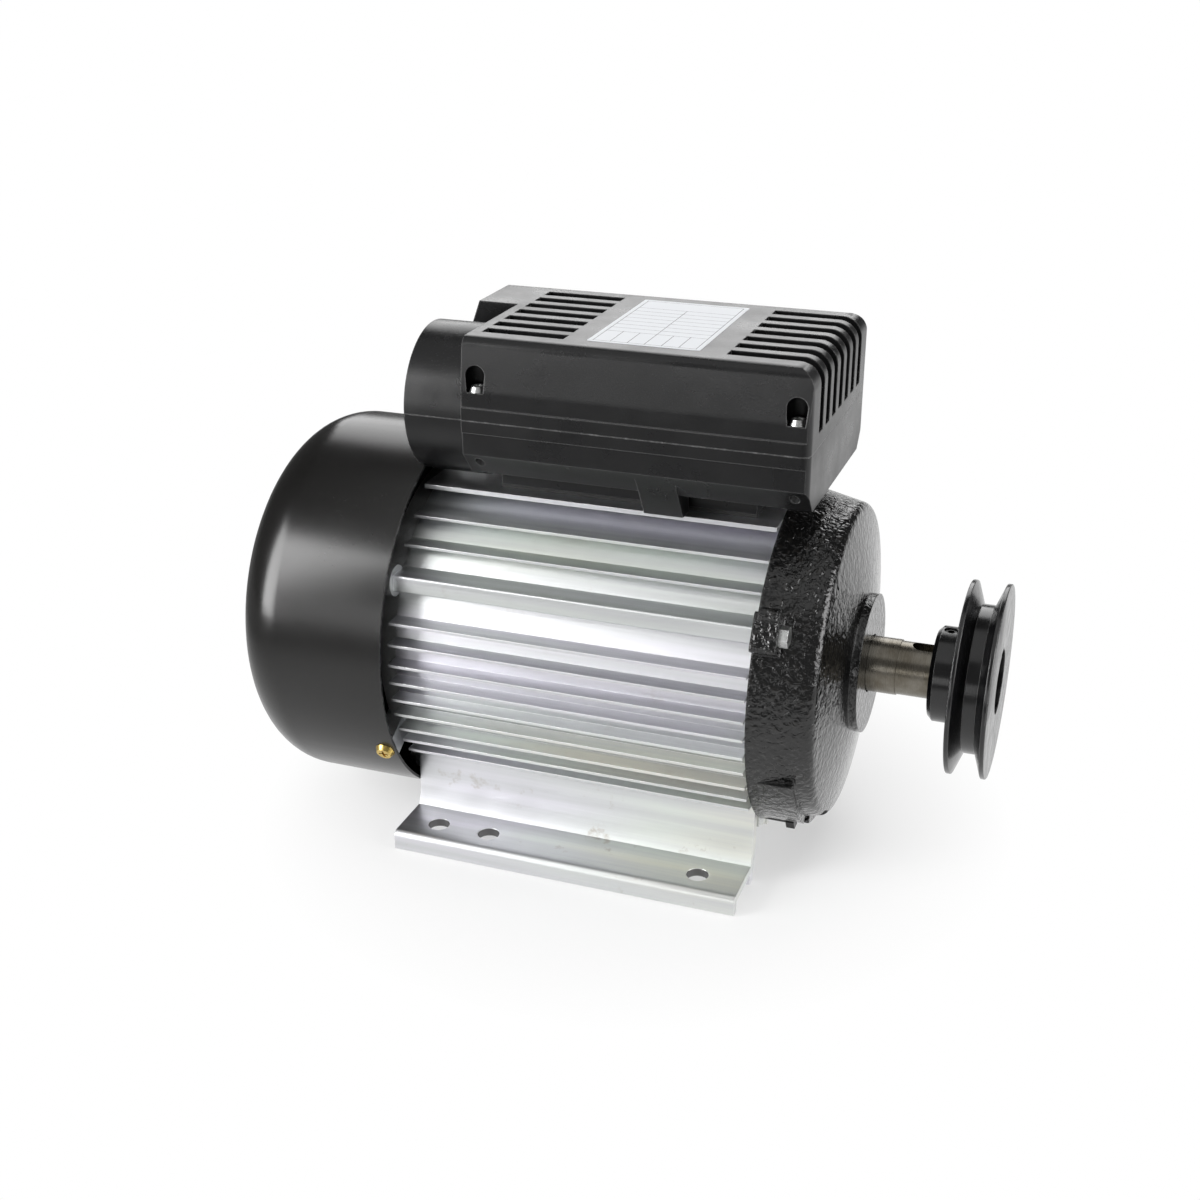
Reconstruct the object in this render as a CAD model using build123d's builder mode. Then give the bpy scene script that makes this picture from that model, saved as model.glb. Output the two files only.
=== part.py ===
from build123d import *
from math import cos, radians, sin, sqrt
import os

os.makedirs("parts", exist_ok=True)

# Single-phase foot motor. Millimetres, X along the shaft towards the pulley, Z up, ground at Z = 0.
# The origin is under the middle of the whole motor. Stations along the shaft are measured from
# the middle of the longer foot pattern, which lies foot_middle from the origin.
foot_middle = -9.9
shaft_height = 90.0

# Fits: a seat that stays still, a seat that slides or turns, and the room under a soft curve.
seat_clearance = 0.03
running_clearance = 0.06
rest_gap = 0.3
bolt_clearance = 0.3
bolt_end_gap = 2.0

# Feet. The longer pattern sets the length of the motor, and the shorter one shares its front holes.
foot_pitch_long = 125.0
foot_pitch_step = 25.0
foot_span = 140.0
foot_hole_radius = 5.0
foot_width = 165.5
foot_top = 8.9
foot_plate = 4.0
foot_lip = 4.0
foot_lip_round = 3.0
foot_web = 5.0
web_toe = 56.9
web_waist = 53.5
web_flare = 2.5
web_waist_low = 16.0
web_waist_high = 27.0

# Extruded housing. Fins are placed by their share of its radius, from the top down.
housing_radius = 72.0
housing_wall = 7.0
housing_rear_overhang = 16.8
housing_front_overhang = 20.4
fin_reach = 8.0
upper_fin_reach = 5.5
fin_tip = 1.3
fin_root = 1.9
fin_shares = (0.851, 0.712, 0.293, 0.161, 0.028, -0.09, -0.215, -0.329, -0.454, -0.56, -0.664)
belly_fin_shares = (0.246, 0.375, 0.597)
table_rise = 0.4
table_width = 71.0
table_thickness = 2.0

# Bolts that hold the end bells to the housing, at radius and angle above the horizontal.
upper_bolt_rise = 5.0
upper_bolt_angle = 29.5
lower_bolt_rise = 2.0
lower_bolt_angle = -61.5
upper_boss_height = 7.6
upper_boss_face = 3.8
upper_boss_round = 0.8
lower_boss_radius = 5.8
bell_bolt_radius = 2.5
bell_bolt_length = 24.0
bell_bolt_flats = 8.0
bell_bolt_head = 3.8
bell_bolt_spotface = 5.5

# Drive end bell, cast iron.
bell_lip = 4.5
bell_wall = 7.0
bell_rim_depth = 27.3
bell_rim_drop = 1.6
bell_rim_round = 4.0
bell_cone_depth = 33.7
bell_boss_radius = 31.3
bell_boss_depth = 37.3
bell_spigot = 4.0
bell_spigot_wall = 4.4
bell_lug_width = 17.0
bell_lug_depth = 11.0
bell_lug_reach = 5.5
bell_lug_round = 2.0
lower_pad_depth = 19.6
lower_pad_drop = 0.9
lower_pad_start = -78.0
lower_pad_sweep = 54.0
lower_pocket_width = 12.0
casting_bump_radius = 3.2

# Rear end bell, aluminium.
rear_bell_depth = 10.0
rear_bell_wall = 7.0
rear_disc_drop = 6.0
rear_disc_taper = 2.0
rear_rim_drop = 0.5
rear_hub_radius = 31.0
rear_hub_depth = 16.0
rear_hub_lip = 1.5
cowl_pad_width = 12.0
cowl_pad_depth = 8.0
cowl_pad_offset = 2.0
cowl_screw_angles = (-30, 90, 210)
cowl_screw_radius = 2.5
cowl_screw_length = 9.0
cowl_screw_head = 4.6
cowl_screw_crown = 2.2
cowl_screw_dome = 28.0
cross_width = 1.0
cross_depth = 1.2
rear_lug_radius = 7.0
rear_lug_depth = 8.0

# Fan cowl, pressed steel.
cowl_step = 15.2
cowl_wall = 1.2
cowl_depth = 79.0
cowl_corner = 27.0
cowl_rim_gap = 0.3
cowl_slot_width = 5.0
cowl_slot_rings = ((37.0, 18.0, 16), (18.0, 10.0, 8))

# Shaft and rolling bearings (25 x 52 x 15 at the drive end, 20 x 47 x 14 at the rear).
shaft_radius = 12.0
shaft_extension = 50.0
shoulder_from_foot_hole = 56.0
shaft_step_depth = 50.1
front_bearing_bore = 12.5
front_bearing_radius = 26.0
front_bearing_width = 15.0
front_bearing_depth = 16.1
rear_bearing_bore = 10.0
rear_bearing_radius = 23.5
rear_bearing_width = 14.0
rear_bearing_depth = 11.2
ring_wall_share = 0.27
ball_share = 0.29
ball_count = 8
shield_thickness = 0.6
washer_room = 2.0
washer_width = 5.0
shaft_body_radius = 14.5
shaft_tail_radius = 9.0
shaft_tail_depth = 48.7
shaft_chamfer = 1.0
seal_radius = 20.0
seal_depth = 4.6
seal_lip = 1.4
seal_waist = 16.8
shaft_exit_radius = 13.2

# Key and pulley.
key_width = 8.0
key_height = 7.0
key_depth = 4.0
key_length = 18.5
keyway_length = 29.3
key_end_margin = 1.2
key_slack = 0.1
pulley_radius = 43.0
pulley_rear_setback = 8.7
pulley_front_reach = 8.3
pulley_tip = 2.0
pulley_tip_round = 0.5
pulley_root_radius = 33.0
pulley_root_width = 5.5
pulley_hub_radius = 21.3
pulley_hub_setback = 20.1
pulley_hub_chamfer = 2.0
pulley_counterbore = 14.4
set_screw_radius = 3.0
set_screw_length = 5.5

# Stator and rotor.
core_rear_setback = 39.3
core_front_setback = 32.9
air_gap = 0.4
rotor_radius = 35.1
stator_slots = 24
slot_mouth = 2.2
slot_width = 5.0
slot_root = 2.5
slot_depth = 17.0
wire_inset = 0.3
winding_overhang = 21.0
main_coil_depth = 9.0
start_coil_depth = 6.5
cage_bars = 28
cage_bar_radius = 1.8
cage_bar_circle = 31.0
cage_ring = 11.0
cage_ring_bore = 20.0
cage_ring_radius = 34.0

# Start switch: board on the rear bell, collar that slides on the shaft, two hinged weights.
switch_board_radius = 46.0
switch_board_thickness = 1.6
switch_board_gap = 3.0
switch_board_drop = 16.0
collar_setback = 8.3
collar_length = 9.0
collar_wall = 2.4
collar_flange = 20.5
collar_flange_depth = 2.0
governor_setback = 21.8
governor_plate = 2.0
governor_plate_radius = 31.0
governor_hub_radius = 18.0
governor_hub_length = 4.5
weight_pivot_radius = 26.0
weight_pivot_setback = 18.3
weight_width = 15.0
weight_inner = 22.5
weight_outer = 30.0
weight_rear_setback = 10.3
weight_front_setback = 20.1
weight_round = 1.5
pivot_pin_radius = 1.2
ear_gap = 0.3
ear_thickness = 1.6
ear_reach = 5.5
ear_height = 6.4
contact_arm = (30.0, 12.0, 6.0, 0.8)
contact_point = (33.0, 1.8, 2.4)
contact_rise = 8.0

# Cooling fan.
fan_rear_depth = 47.7
fan_front_depth = 22.7
fan_hub_radius = 17.0
fan_tip_gap = 16.0
fan_blades = 9
fan_blade_thickness = 2.2
fan_disc_thickness = 2.5
fan_disc_radius = 46.0
fan_blade_depth = 21.0
fan_blade_slope = 7.0
clip_thickness = 1.2
clip_reach = 2.6
clip_depth = 0.8
clip_mouth = 5.0

# Terminal box: heights above the housing's flat table, half widths across the motor.
case_rear_setback = 27.3
case_front_reach = 16.4
case_floor = 12.0
case_chamfer = 22.6
case_band_low = 32.3
case_parting = 37.8
case_band_high = 43.5
case_bend = 50.5
case_top = 73.2
case_floor_half = 43.5
case_wall_half = 52.7
case_band_half = 53.5
case_top_half = 50.0
case_wall = 2.5
case_roof = 4.0
case_front_round = 9.0
case_side_round = 5.0
case_corner_round = 4.0
case_wing_side = 12.0
case_wing_lean = 8.0
drum_reach = 27.0
drum_side = -20.0
drum_radius = 33.0
vent_pitch = 12.0
vent_width = 7.0
vent_depth = 2.5
vent_count = 7
rear_vent_setback = 4.5
rear_vent_length = 37.0
front_vent_setback = 39.3
front_vent_low = 44.1
case_screw_setback = 6.4
case_screw_side = 49.0
case_screw_radius = 2.0
case_screw_head = 3.7
case_screw_crown = 2.4
case_screw_length = 24.0
pan_dome = 22.0
case_pocket_radius = 5.2
case_pocket_floor = 50.1
case_pocket_height = 7.0
case_column_radius = 7.3
seal_height = 1.6
seal_thickness = 1.1
seal_gap = 0.1

# What carries the terminal box: pedestal with gasket and screws, and one leg each side.
pedestal_rear_setback = 7.0
pedestal_front_setback = 27.3
pedestal_half = 27.0
pedestal_floor = 3.0
gasket_thickness = 1.5
pedestal_screw_setbacks = (15.0, 32.0)
pedestal_screw_side = 19.0
pedestal_screw_radius = 2.5
pedestal_screw_length = 11.0
pedestal_screw_head = 4.5
pedestal_screw_crown = 2.8
lead_hole_setback = 41.3
lead_hole_radius = 8.0
grommet_wall = 1.8
grommet_lip = 2.5
grommet_lip_height = 1.2
leg_setback = 74.3
leg_length = 17.5
leg_top = 23.6
leg_toe = 37.5
leg_heel = 29.5

# Inside the terminal box.
start_capacitor_length = 87.0
start_capacitor_radius = 20.4
run_capacitor_setback = 18.0
run_capacitor_length = 64.0
run_capacitor_radius = 17.0
run_capacitor_side = 26.0
capacitor_round = 2.5
capacitor_tab = (1.0, 6.3, 8.0)
strap_setback = 15.5
strap_width = 8.5
strap_thickness = 0.8
strap_foot = 7.0
board_setback = 15.3
board_length = 36.0
board_half = 28.0
board_rib = 2.5
board_thickness = 5.0
board_rise = 4.0
stud_radius = 2.0
stud_length = 14.0
stud_rows = 3
stud_pitch = 13.0
stud_row_gap = 16.0
nut_flats = 7.0
nut_height = 3.2

# Cable gland on the back wall.
gland_setback = 39.3
gland_height = 28.3
gland_pad = 22.0
gland_pad_depth = 9.5
gland_thread = 7.0
gland_thread_length = 14.5
gland_flats = 18.0
gland_flange = 4.5
gland_neck = 6.5
gland_neck_radius = 7.6
gland_cap_length = 13.0
gland_cap_flats = 19.0
gland_dome_radius = 9.0
gland_dome = 24.0
gland_mouth = 4.0
gland_seal_wall = 1.8
gland_seal_depth = 1.0
locknut_height = 4.0

# Stations and radii that follow from the values above.
foot_pitch_short = foot_pitch_long - foot_pitch_step
housing_rear = -foot_pitch_long / 2 - housing_rear_overhang
housing_front = foot_pitch_long / 2 + housing_front_overhang
housing_length = housing_front - housing_rear
housing_bore = housing_radius - housing_wall
fin_heights = [housing_radius * share for share in fin_shares]
belly_fins = [housing_radius * share for share in belly_fin_shares]
upper_bolt_circle = housing_radius + upper_bolt_rise
lower_bolt_circle = housing_radius + lower_bolt_rise
table_top = shaft_height + housing_radius + table_rise
flange_radius = housing_radius + bell_lip
bell_rim_station = housing_front + bell_rim_depth
bell_rim_radius = housing_radius - bell_rim_drop
bell_cone_station = housing_front + bell_cone_depth
bell_boss_station = housing_front + bell_boss_depth
lower_pad_radius = flange_radius - lower_pad_drop
rear_disc_radius = housing_radius - rear_disc_drop
rear_rim_radius = housing_radius - rear_rim_drop
front_bearing_station = housing_front + front_bearing_depth
rear_bearing_station = housing_rear - rear_bearing_depth
core_rear = housing_rear + core_rear_setback
core_front = housing_front - core_front_setback
core_length = core_front - core_rear
stator_bore = rotor_radius + air_gap
shaft_end = foot_pitch_long / 2 + shoulder_from_foot_hole + shaft_extension
shaft_step_station = housing_front + shaft_step_depth
shaft_tail_station = housing_rear - shaft_tail_depth
pulley_rear = shaft_end - pulley_rear_setback
pulley_front = shaft_end + pulley_front_reach
pulley_hub_rear = shaft_end - pulley_hub_setback
cowl_radius = housing_radius + cowl_step
cowl_front = housing_rear - cowl_rim_gap
cowl_rear = housing_rear - cowl_depth
cowl_inner = cowl_radius - cowl_wall
collar_station = housing_rear + collar_setback
governor_station = housing_rear + governor_setback
weight_pivot_station = housing_rear + weight_pivot_setback
weight_rear = housing_rear + weight_rear_setback
weight_front = housing_rear + weight_front_setback
fan_rear = housing_rear - fan_rear_depth
fan_front = housing_rear - fan_front_depth
fan_radius = cowl_inner - fan_tip_gap
case_rear = housing_rear + case_rear_setback
case_front = housing_front + case_front_reach
drum_rear = case_rear - drum_reach
rear_vent_start = case_rear + rear_vent_setback
front_vent_start = case_front - front_vent_setback
case_screw_stations = (case_rear + case_screw_setback, case_front - case_screw_setback)
pedestal_rear = case_rear + pedestal_rear_setback
pedestal_front = case_front - pedestal_front_setback
pedestal_middle = (pedestal_rear + pedestal_front) / 2
pedestal_length = pedestal_front - pedestal_rear
pedestal_screw_stations = (pedestal_rear + pedestal_screw_setbacks[0],
                           pedestal_front - pedestal_screw_setbacks[1])
pedestal_spots = [(s, side * pedestal_screw_side) for s in pedestal_screw_stations for side in (-1, 1)]
lead_hole_station = case_front - lead_hole_setback
leg_rear = case_front - leg_setback
gland_station = case_front - gland_setback
shaft_axis = Axis((0, 0, shaft_height), (1, 0, 0))
upper_spots = [(side * upper_bolt_circle * cos(radians(upper_bolt_angle)),
                upper_bolt_circle * sin(radians(upper_bolt_angle))) for side in (-1, 1)]
lower_spots = [(side * lower_bolt_circle * cos(radians(lower_bolt_angle)),
                lower_bolt_circle * sin(radians(lower_bolt_angle))) for side in (-1, 1)]


def at(station):
    """X of a station that is measured from the middle of the longer foot pattern."""
    return foot_middle + station


def across(station):
    """Plane across the shaft, its origin on the shaft axis, local x to +Y, local y up."""
    return Plane(origin=(at(station), 0, shaft_height), x_dir=(0, 1, 0), z_dir=(1, 0, 0))


def across_ground(station):
    """Plane across the shaft with its origin on the ground."""
    return Plane(origin=(at(station), 0, 0), x_dir=(0, 1, 0), z_dir=(1, 0, 0))


def level(height):
    """Horizontal plane at a height, its origin at the middle of the longer foot pattern."""
    return Plane(origin=(foot_middle, 0, height), x_dir=(1, 0, 0), z_dir=(0, 0, 1))


def turned(*points):
    """Solid turned about the shaft axis from (station, radius) corners."""
    with BuildPart() as made:
        with BuildSketch(Plane.XZ):
            with BuildLine():
                Polyline(*[(at(s), shaft_height + r) for s, r in points], close=True)
            make_face()
        revolve(axis=shaft_axis)
    return made.part


def tube(rear, front, inner, outer):
    """Ring about the shaft axis between two stations."""
    return turned((rear, inner), (front, inner), (front, outer), (rear, outer))


def save(node, name):
    """Label a finished piece and write its STEP file."""
    node.part.label = name
    export_step(node.part, f"parts/{name}.step")


def body_height(side, radius=housing_radius):
    """Height above the shaft of a circle of the housing, at a distance to one side."""
    return sqrt(radius ** 2 - side ** 2)


# Motor housing: one aluminium extrusion with fins, feet, bolt bosses and a flat table on top.
def fin(height, tip):
    """Outline of one horizontal fin, from inside the wall out to its tip."""
    root = sqrt(housing_bore ** 2 - height ** 2) + (housing_radius - housing_bore) / 2
    return ((root, height - fin_root / 2), (tip, height - fin_tip / 2),
            (tip, height + fin_tip / 2), (root, height + fin_root / 2))


def mirrored_pair(points):
    """The same outline on both sides of the motor."""
    return (points, tuple((-y, z) for y, z in points))


web_root = (housing_radius + housing_bore) / 2
web_inner_waist = web_waist - foot_web
foot_edge = foot_width / 2
web_outline = (
    (web_toe, -shaft_height),
    (web_waist + web_flare, foot_top - shaft_height),
    (web_waist, web_waist_low - shaft_height),
    (web_waist, web_waist_high - shaft_height),
    (web_waist - web_flare, -body_height(web_waist - web_flare, web_root)),
    (web_inner_waist - web_flare, -body_height(web_inner_waist - web_flare, web_root)),
    (web_inner_waist, web_waist_high - shaft_height),
    (web_inner_waist, web_waist_low - shaft_height),
    (web_toe - foot_web, -shaft_height),
)
with BuildPart() as motor_housing:
    with BuildSketch(across(housing_rear)):
        Circle(housing_radius)
        with Locations((0, housing_radius + table_rise - table_thickness / 2)):
            Rectangle(table_width, table_thickness)
        for height in fin_heights:
            reach = upper_fin_reach if height > housing_radius / 2 else fin_reach
            tip = sqrt((housing_radius + reach) ** 2 - height ** 2)
            for outline in mirrored_pair(fin(height, tip)):
                with BuildLine():
                    Polyline(*outline, close=True)
                make_face()
        for side in belly_fins:
            top = body_height(side, web_root)
            low = sqrt((housing_radius + fin_reach) ** 2 - side ** 2)
            with Locations((side, -(top + low) / 2), (-side, -(top + low) / 2)):
                Rectangle(fin_root, low - top)
        for side, height in upper_spots:
            root = sqrt(web_root ** 2 - height ** 2)
            face = abs(side) + upper_boss_face
            with Locations(((root + face) / 2 * (1 if side > 0 else -1), height)):
                RectangleRounded(face - root, upper_boss_height, upper_boss_round)
        with Locations(*lower_spots):
            Circle(lower_boss_radius)
        for outline in mirrored_pair(web_outline):
            with BuildLine():
                Polyline(*outline, close=True)
            make_face()
        for side in (-1, 1):
            with Locations((side * (web_waist + foot_edge) / 2, foot_top - foot_plate / 2 - shaft_height)):
                Rectangle(foot_edge - web_waist, foot_plate)
            with Locations((side * (foot_edge - foot_lip / 2), foot_top / 2 - shaft_height)):
                Rectangle(foot_lip, foot_top)
        edge_corners = [
            vertices().sort_by_distance((side * foot_edge, foot_top - shaft_height))[0]
            for side in (-1, 1)
        ]
        fillet(edge_corners, foot_lip_round)
        Circle(housing_bore, mode=Mode.SUBTRACT)
    extrude(amount=housing_length)
    with Locations(level(foot_top)):
        with Locations((0, 0)):
            with GridLocations(foot_pitch_long, foot_span, 2, 2):
                Hole(foot_hole_radius, foot_plate)
        with Locations(((foot_pitch_long - foot_pitch_short) / 2, 0)):
            with GridLocations(foot_pitch_short, foot_span, 2, 2):
                Hole(foot_hole_radius, foot_plate)
    for station, depth in ((housing_front, -1), (housing_rear, 1)):
        with BuildSketch(across(station)):
            with Locations(*upper_spots, *lower_spots):
                Circle(bell_bolt_radius + seat_clearance)
        extrude(amount=depth * bell_bolt_length, mode=Mode.SUBTRACT)
    with BuildSketch(level(table_top)):
        with Locations((lead_hole_station, 0)):
            Circle(lead_hole_radius)
        with Locations(*pedestal_spots):
            Circle(pedestal_screw_radius + seat_clearance)
    extrude(amount=body_height(pedestal_screw_side, housing_bore) + shaft_height - table_top,
            mode=Mode.SUBTRACT)
save(motor_housing, "motor_housing")


# Drive end bell: cast iron cup with a register, a bearing seat, bolt lugs and two pads below.
def lug(angle, rear, depth, inner, outer, width):
    """Block that stands on a bell, square to the radius at an angle."""
    with BuildPart() as made:
        with BuildSketch(across(rear)):
            with PolarLocations((inner + outer) / 2, 1, start_angle=angle):
                RectangleRounded(outer - inner, width, bell_lug_round)
        extrude(amount=depth)
    return made.part


def sector(rear, depth, inner, outer, start, sweep):
    """Part of a ring about the shaft axis, from one angle over a sweep."""
    with BuildPart() as made:
        with BuildSketch(across(rear)):
            with BuildLine():
                far = CenterArc((0, 0), outer, start, sweep)
                near = CenterArc((0, 0), inner, start, sweep)
                Line(far @ 0, near @ 0)
                Line(far @ 1, near @ 1)
            make_face()
        extrude(amount=depth)
    return made.part


front_seat_face = housing_front + bell_lug_depth
rear_seat_face = housing_rear - rear_lug_depth
front_seat = front_bearing_radius + seat_clearance
front_seat_end = front_bearing_station + front_bearing_width
spigot_radius = housing_bore - running_clearance
cavity_radius = spigot_radius - bell_spigot_wall
hub_outer = front_bearing_radius + bell_wall
upper_angles = (upper_bolt_angle, 180 - upper_bolt_angle)
lower_angles = (lower_bolt_angle, 180 - lower_bolt_angle)
with BuildPart() as drive_end_bell:
    with BuildSketch(Plane.XZ):
        with BuildLine():
            outline = [
                (housing_front, flange_radius),
                (bell_rim_station, bell_rim_radius),
                (bell_cone_station, bell_boss_radius),
                (bell_boss_station, bell_boss_radius),
                (bell_boss_station, shaft_exit_radius),
                (front_seat_end + seal_depth, shaft_exit_radius),
                (front_seat_end + seal_depth, seal_radius),
                (front_seat_end, seal_radius),
                (front_seat_end, front_seat),
                (front_bearing_station - 1, front_seat),
                (front_bearing_station - 1, hub_outer),
                (bell_cone_station - bell_wall, hub_outer),
                (bell_rim_station - bell_wall, cavity_radius),
                (housing_front - bell_spigot, cavity_radius),
                (housing_front - bell_spigot, spigot_radius),
                (housing_front, spigot_radius),
            ]
            Polyline(*[(at(s), shaft_height + r) for s, r in outline], close=True)
        make_face()
        rim_corner = vertices().sort_by_distance((at(bell_rim_station), shaft_height + bell_rim_radius))[0]
        fillet(rim_corner, bell_rim_round)
    revolve(axis=shaft_axis)
    for angle in upper_angles:
        add(lug(angle, housing_front, bell_lug_depth, cavity_radius + bell_lug_round,
                upper_bolt_circle + bell_lug_reach, bell_lug_width))
        bump_plane = across(front_seat_face)
        spot = (upper_bolt_circle * cos(radians(angle)),
                upper_bolt_circle * sin(radians(angle)) + bell_lug_width / 2)
        with BuildSketch(bump_plane):
            with Locations(spot):
                Circle(casting_bump_radius)
        extrude(amount=-bell_lug_depth + bell_lug_round)
    for start in (lower_pad_start, 180 - lower_pad_start - lower_pad_sweep):
        add(sector(housing_front, lower_pad_depth, cavity_radius + bell_lug_round, lower_pad_radius,
                   start, lower_pad_sweep))
    for angle in lower_angles:
        add(lug(angle, front_seat_face, lower_pad_depth, lower_bolt_circle - lower_pocket_width / 2,
                lower_bolt_circle + lower_pocket_width, lower_pocket_width), mode=Mode.SUBTRACT)
    add(turned((housing_front, 0), (housing_front, cavity_radius),
               (bell_rim_station - bell_wall, cavity_radius), (bell_rim_station - bell_wall, 0)),
        mode=Mode.SUBTRACT)
    with BuildSketch(across(housing_front)):
        with Locations(*upper_spots, *lower_spots):
            Circle(bell_bolt_radius + bolt_clearance)
    extrude(amount=bell_lug_depth, mode=Mode.SUBTRACT)
    with BuildSketch(across(front_seat_face)):
        with Locations(*upper_spots, *lower_spots):
            Circle(bell_bolt_spotface)
    extrude(amount=lower_pad_depth, mode=Mode.SUBTRACT)
save(drive_end_bell, "drive_end_bell")

# Rear end bell: aluminium disc with a bearing hub, bolt lugs and three pads for the cowl.
rear_seat = rear_bearing_radius + seat_clearance
rear_seat_end = rear_bearing_station - washer_room
rear_wall_face = housing_rear - rear_bell_depth
hub_face = rear_bearing_station + rear_bearing_width + rear_hub_lip
pad_front = housing_rear - cowl_pad_offset
pad_radius = cowl_inner - rest_gap
with BuildPart() as rear_end_bell:
    add(turned(
        (housing_rear, rear_rim_radius), (rear_seat_face, rear_rim_radius),
        (rear_seat_face, rear_disc_radius), (rear_wall_face, rear_disc_radius - rear_disc_taper),
        (rear_wall_face, rear_hub_radius),
        (housing_rear - rear_hub_depth, rear_hub_radius),
        (housing_rear - rear_hub_depth, rear_bearing_bore + 1), (rear_seat_end, rear_bearing_bore + 1),
        (rear_seat_end, rear_seat), (hub_face, rear_seat), (hub_face, rear_hub_radius),
        (rear_wall_face + rear_bell_wall, rear_hub_radius),
        (rear_wall_face + rear_bell_wall, cavity_radius), (housing_rear + bell_spigot, cavity_radius),
        (housing_rear + bell_spigot, spigot_radius), (housing_rear, spigot_radius)))
    with BuildSketch(across(housing_rear)):
        with Locations(*upper_spots, *lower_spots):
            Circle(rear_lug_radius)
    extrude(amount=-rear_lug_depth)
    for angle in cowl_screw_angles:
        add(lug(angle, pad_front - cowl_pad_depth, cowl_pad_depth, cavity_radius + bell_lug_round, pad_radius,
                cowl_pad_width))
    for angle in cowl_screw_angles:
        outward = Vector(0, cos(radians(angle)), sin(radians(angle)))
        spot = Vector(at(pad_front - cowl_pad_depth / 2), 0, shaft_height) + outward * pad_radius
        with BuildSketch(Plane(origin=spot, x_dir=(1, 0, 0), z_dir=outward)):
            Circle(cowl_screw_radius + seat_clearance)
        extrude(amount=-cowl_screw_length, mode=Mode.SUBTRACT)
    with BuildSketch(across(housing_rear)):
        with Locations(*upper_spots, *lower_spots):
            Circle(bell_bolt_radius + bolt_clearance)
    extrude(amount=-rear_lug_depth, mode=Mode.SUBTRACT)
save(rear_end_bell, "rear_end_bell")


# Bell bolts: hexagon heads on the lugs, shanks down into the housing.
def bell_bolts(seat, spots, depth, direction):
    with BuildPart() as made:
        with BuildSketch(across(seat)):
            with Locations(*spots):
                RegularPolygon(bell_bolt_flats / 2, 6, major_radius=False)
        extrude(amount=direction * bell_bolt_head)
        with BuildSketch(across(seat)):
            with Locations(*spots):
                Circle(bell_bolt_radius)
        extrude(amount=-direction * (depth + bell_bolt_length - bolt_end_gap))
    return made


front_upper_bolts = bell_bolts(front_seat_face, upper_spots, bell_lug_depth, 1)
save(front_upper_bolts, "front_upper_bolts")
front_lower_bolts = bell_bolts(front_seat_face, lower_spots, bell_lug_depth, 1)
save(front_lower_bolts, "front_lower_bolts")
rear_bell_bolts = bell_bolts(rear_seat_face, upper_spots + lower_spots, rear_lug_depth, -1)
save(rear_bell_bolts, "rear_bell_bolts")

# Fan cowl: drawn steel cup, open towards the housing, with rings of slots in its back.
with BuildPart() as fan_cowl:
    with BuildSketch(across(cowl_rear)):
        Circle(cowl_radius)
    extrude(amount=cowl_front - cowl_rear)
    fillet(edges().sort_by(Axis.X)[0], cowl_corner)
    offset(amount=-cowl_wall, openings=faces().sort_by(Axis.X)[-1])
    with BuildSketch(across(cowl_rear)):
        for middle, length, count in cowl_slot_rings:
            with PolarLocations(middle, count):
                SlotOverall(length, cowl_slot_width)
    extrude(amount=cowl_wall * 2, mode=Mode.SUBTRACT)
    for angle in cowl_screw_angles:
        outward = Vector(0, cos(radians(angle)), sin(radians(angle)))
        spot = Vector(at(pad_front - cowl_pad_depth / 2), 0, shaft_height) + outward * cowl_radius
        with BuildSketch(Plane(origin=spot, x_dir=(1, 0, 0), z_dir=outward)):
            Circle(cowl_screw_radius + bolt_clearance)
        extrude(amount=-2 * cowl_wall, mode=Mode.SUBTRACT)
save(fan_cowl, "fan_cowl")

# Three cowl screws: cross recess pan heads with a flat flange, driven in radially.
with BuildPart() as cowl_screws:
    for angle in cowl_screw_angles:
        outward = Vector(0, cos(radians(angle)), sin(radians(angle)))
        spot = Vector(at(pad_front - cowl_pad_depth / 2), 0, shaft_height) + outward * cowl_radius
        seat = Plane(origin=spot, x_dir=(1, 0, 0), z_dir=outward)
        with BuildSketch(seat):
            Circle(cowl_screw_head)
        extrude(amount=cowl_screw_crown, taper=cowl_screw_dome)
        with BuildSketch(seat):
            Circle(cowl_screw_radius)
        extrude(amount=-cowl_screw_length)
        with BuildSketch(seat.offset(cowl_screw_crown)):
            Rectangle(cowl_screw_head, cross_width)
            Rectangle(cross_width, cowl_screw_head)
        extrude(amount=-cross_depth, mode=Mode.SUBTRACT)
save(cowl_screws, "cowl_screws")

# Stator: laminated core with open slots, and two windings that share them.
with BuildPart() as stator_core:
    with BuildSketch(across(core_rear)):
        Circle(housing_bore - running_clearance)
        Circle(stator_bore, mode=Mode.SUBTRACT)
        with PolarLocations(stator_bore + slot_root + slot_depth / 2, stator_slots):
            Rectangle(slot_depth, slot_width, mode=Mode.SUBTRACT)
        with PolarLocations(stator_bore + slot_root / 2, stator_slots):
            Rectangle(slot_root + 1, slot_mouth, mode=Mode.SUBTRACT)
    extrude(amount=core_length)
save(stator_core, "stator_core")

slot_floor = stator_bore + slot_root + slot_depth - wire_inset
layer_split = slot_floor - main_coil_depth


def winding(inner, outer):
    """Slot bars of one winding joined by a bundle beyond each end of the core."""
    with BuildPart() as made:
        with BuildSketch(across(core_rear - 1)):
            with PolarLocations((inner + outer) / 2, stator_slots):
                Rectangle(outer - inner, slot_width - 2 * wire_inset)
        extrude(amount=core_length + 2)
        for near, far in ((core_rear - 1, core_rear - winding_overhang),
                          (core_front + 1, core_front + winding_overhang)):
            add(tube(min(near, far), max(near, far), inner, outer))
    return made


main_winding = winding(layer_split, slot_floor)
save(main_winding, "main_winding")
start_winding = winding(layer_split - rest_gap - start_coil_depth, layer_split - rest_gap)
save(start_winding, "start_winding")

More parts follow.
